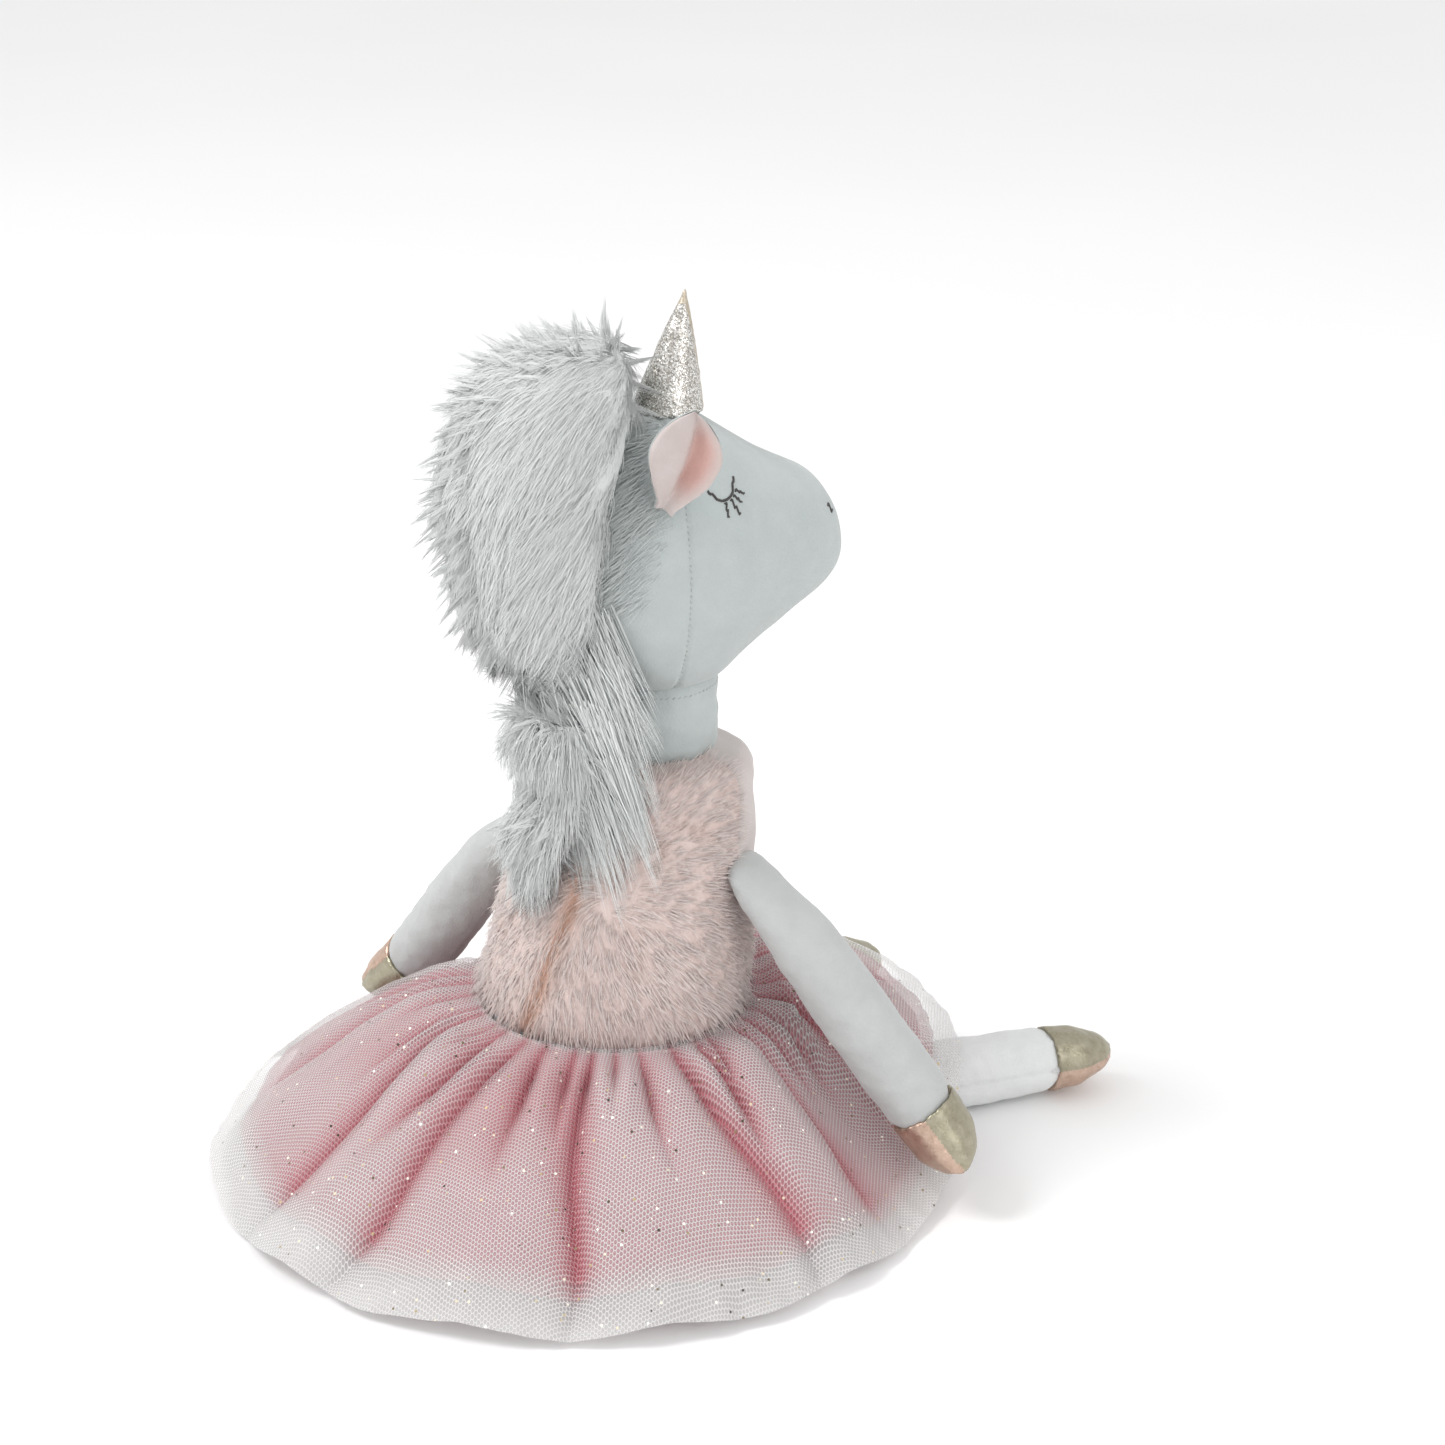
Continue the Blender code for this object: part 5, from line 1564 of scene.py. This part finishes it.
def build_layer(node, title, outer_edges, folds, material, drop, veil=False):
    """One gathered layer of the skirt, draped over what the CAD layer rests on."""
    tree = surface_tree(NODES[node])
    angles = np.arange(SKIRT_ANGLES) * 2 * math.pi / SKIRT_ANGLES
    inner, hem, outermost = layer_rings(node, tree, angles)
    if outer_edges is None:
        outer_edges = (inner, hem)
    grid = layer_grid(tree, angles, inner, hem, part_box(node)[1].z)
    normal = upward_normals(grid)
    radius = np.linalg.norm(grid[:, :, :2], axis=2)
    share = np.clip((radius - outer_edges[0]) / (outer_edges[1] - outer_edges[0]), 0.0, 1.0).ravel()
    height, ridge = folds.at(np.tile(angles, SKIRT_ROWS + 1), share)
    points = grid.reshape(-1, 3) + normal * (height - drop)[:, None]
    frill = np.array([noise.fractal(Vector(p) / 0.012, 1, 2, 2) for p in points])
    edge = np.repeat(np.clip((np.linspace(0.0, 1.0, SKIRT_ROWS + 1) - 0.75) / 0.25, 0.0, 1.0), SKIRT_ANGLES)
    points += normal * (frill * edge * 0.0014)[:, None]
    points[:, 2] = np.maximum(points[:, 2], 0.0008 + drop * 0.2)
    for j, angle in enumerate(angles):
        waist = direction(angle) * (inner[j] - WAIST_TUCK)
        points[j] = (waist.x, waist.y, grid[0, j, 2] + 0.0010)
    layer = mesh_object(title, points, ring_faces(SKIRT_ROWS + 1, SKIRT_ANGLES), material)
    set_attribute(layer, "ridge", ridge)
    if veil:
        set_attribute(layer, "veil", np.clip((share - 0.80) / 0.10, 0.0, 1.0))
    spread = 0.5 + points[:, :2] / (2.1 * outermost)
    corner = np.empty(len(layer.data.loops), np.int32)
    layer.data.loops.foreach_get("vertex_index", corner)
    uv = layer.data.uv_layers.new(name="OFBake")
    uv.data.foreach_set("uv", spread[corner].astype(np.float32).ravel())
    finish_piece(layer, NODES[node]["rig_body"], (node,))
    return layer, outer_edges


def hand_angles():
    found = []
    for name in SIDES:
        low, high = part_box("hand_hoof_outer_" + name)
        middle = (low + high) / 2
        found.append(math.atan2(-middle.x, -middle.y))
    return found


def build_skirt(rng):
    folds = Folds(rng, hand_angles())
    _, edges = build_layer("tutu_glitter_tulle", "tutu_glitter_tulle_gathered", None, folds,
                           LOOKS["tulle"], 0.0, True)
    build_layer("tutu_pink_tulle", "tutu_pink_tulle_gathered", edges, folds, LOOKS["pink_tulle"],
                0.0003)
    build_layer("tutu_satin_lining", "tutu_satin_lining_gathered", edges, folds, LOOKS["satin"],
                0.0004)


def build_elastic():
    """The ribbed band in the skirt's waist."""
    low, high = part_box("waist_elastic")
    wide = (high.x - low.x) / 2 - 0.0008
    deep = (high.y - low.y) / 2 - 0.0008
    ribs, across = 180, 12
    vertices = []
    for k in range(ribs * 2):
        a = math.pi * k / ribs
        swell = 0.0003 * (k % 2)
        for m in range(across):
            b = 2 * math.pi * m / across
            out = 0.0007 * math.cos(b) + swell * max(math.cos(b), 0.0)
            z = (low.z + high.z) / 2 + (high.z - low.z) * 0.48 * math.sin(b)
            vertices.append((math.sin(a) * (wide + out), -math.cos(a) * (deep + out), z))
    band = mesh_object("waist_elastic_band", vertices, ring_faces(ribs * 2, across, True), LOOKS["elastic"])
    finish_piece(band, "torso", ("waist_elastic",))


# ---- stage -----------------------------------------------------------------------------------------
def build_stage():
    floor = Nodes("pale_floor", roughness=0.9)
    tone = floor.noise(0.6, 1.0)
    floor.set(Specular_IOR_Level=0.1)
    floor.finish(floor.mix(floor.steps(tone, 0.3, 0.7), (0.94, 0.94, 0.94), (0.96, 0.96, 0.96)))
    size = 4.0
    ground = mesh_object("floor", [(-size, -size, 0), (size, -size, 0), (size, size, 0), (-size, size, 0)],
                         [(0, 1, 2, 3)], floor.material)
    world = bpy.data.worlds.new("studio")
    bpy.context.scene.world = world
    world.use_nodes = True
    sky = world.node_tree.nodes["Background"]
    sky.inputs["Color"].default_value = (1.0, 1.0, 1.0, 1.0)
    sky.inputs["Strength"].default_value = 0.86
    add_light("key", (0.9, 1.0, 1.9), 0.9, 26.0)
    add_light("fill", (-1.7, 0.6, 1.2), 1.6, 9.0)
    bpy.context.scene.view_settings.view_transform = "Standard"
    bpy.context.scene.view_settings.look = "None"


def add_light(name, place, size, power):
    data = bpy.data.lights.new(name, "AREA")
    data.shape = "DISK"
    data.size = size
    data.energy = power
    lamp = link(bpy.data.objects.new(name, data))
    lamp.location = place
    lamp.rotation_euler = (Vector((0, 0, 0.12)) - Vector(place)).to_track_quat("-Z", "Y").to_euler()


def build_camera():
    data = bpy.data.cameras.new("camera")
    data.angle = math.radians(27.2)
    camera = link(bpy.data.objects.new("camera", data))
    camera.location = TO_VIEW * 0.96 + VIEW_RIGHT * 0.0392 + Vector((0.0, 0.0, 0.53))
    look = TO_VIEW * -math.cos(VIEW_DIP) + Vector((0.0, 0.0, -math.sin(VIEW_DIP)))
    camera.rotation_euler = look.to_track_quat("-Z", "Y").to_euler()
    bpy.context.scene.camera = camera


def main():
    rng = np.random.default_rng(SEED)
    keep_nodes()
    head = Head()
    skin = build_head(head)
    neck = build_neck(head)
    build_seams(head, skin, neck)
    build_horn(head)
    build_ears(head)
    build_face_stitching(head, skin)
    manes = build_mane(head, skin, rng)
    build_mane_edge(head, skin, rng)
    bodice = build_bodice(rng)
    build_fall(head, [skin, neck, bodice] + manes, rng)
    build_lower_body()
    build_limbs()
    build_skirt(rng)
    build_elastic()
    build_stage()
    build_camera()


main()
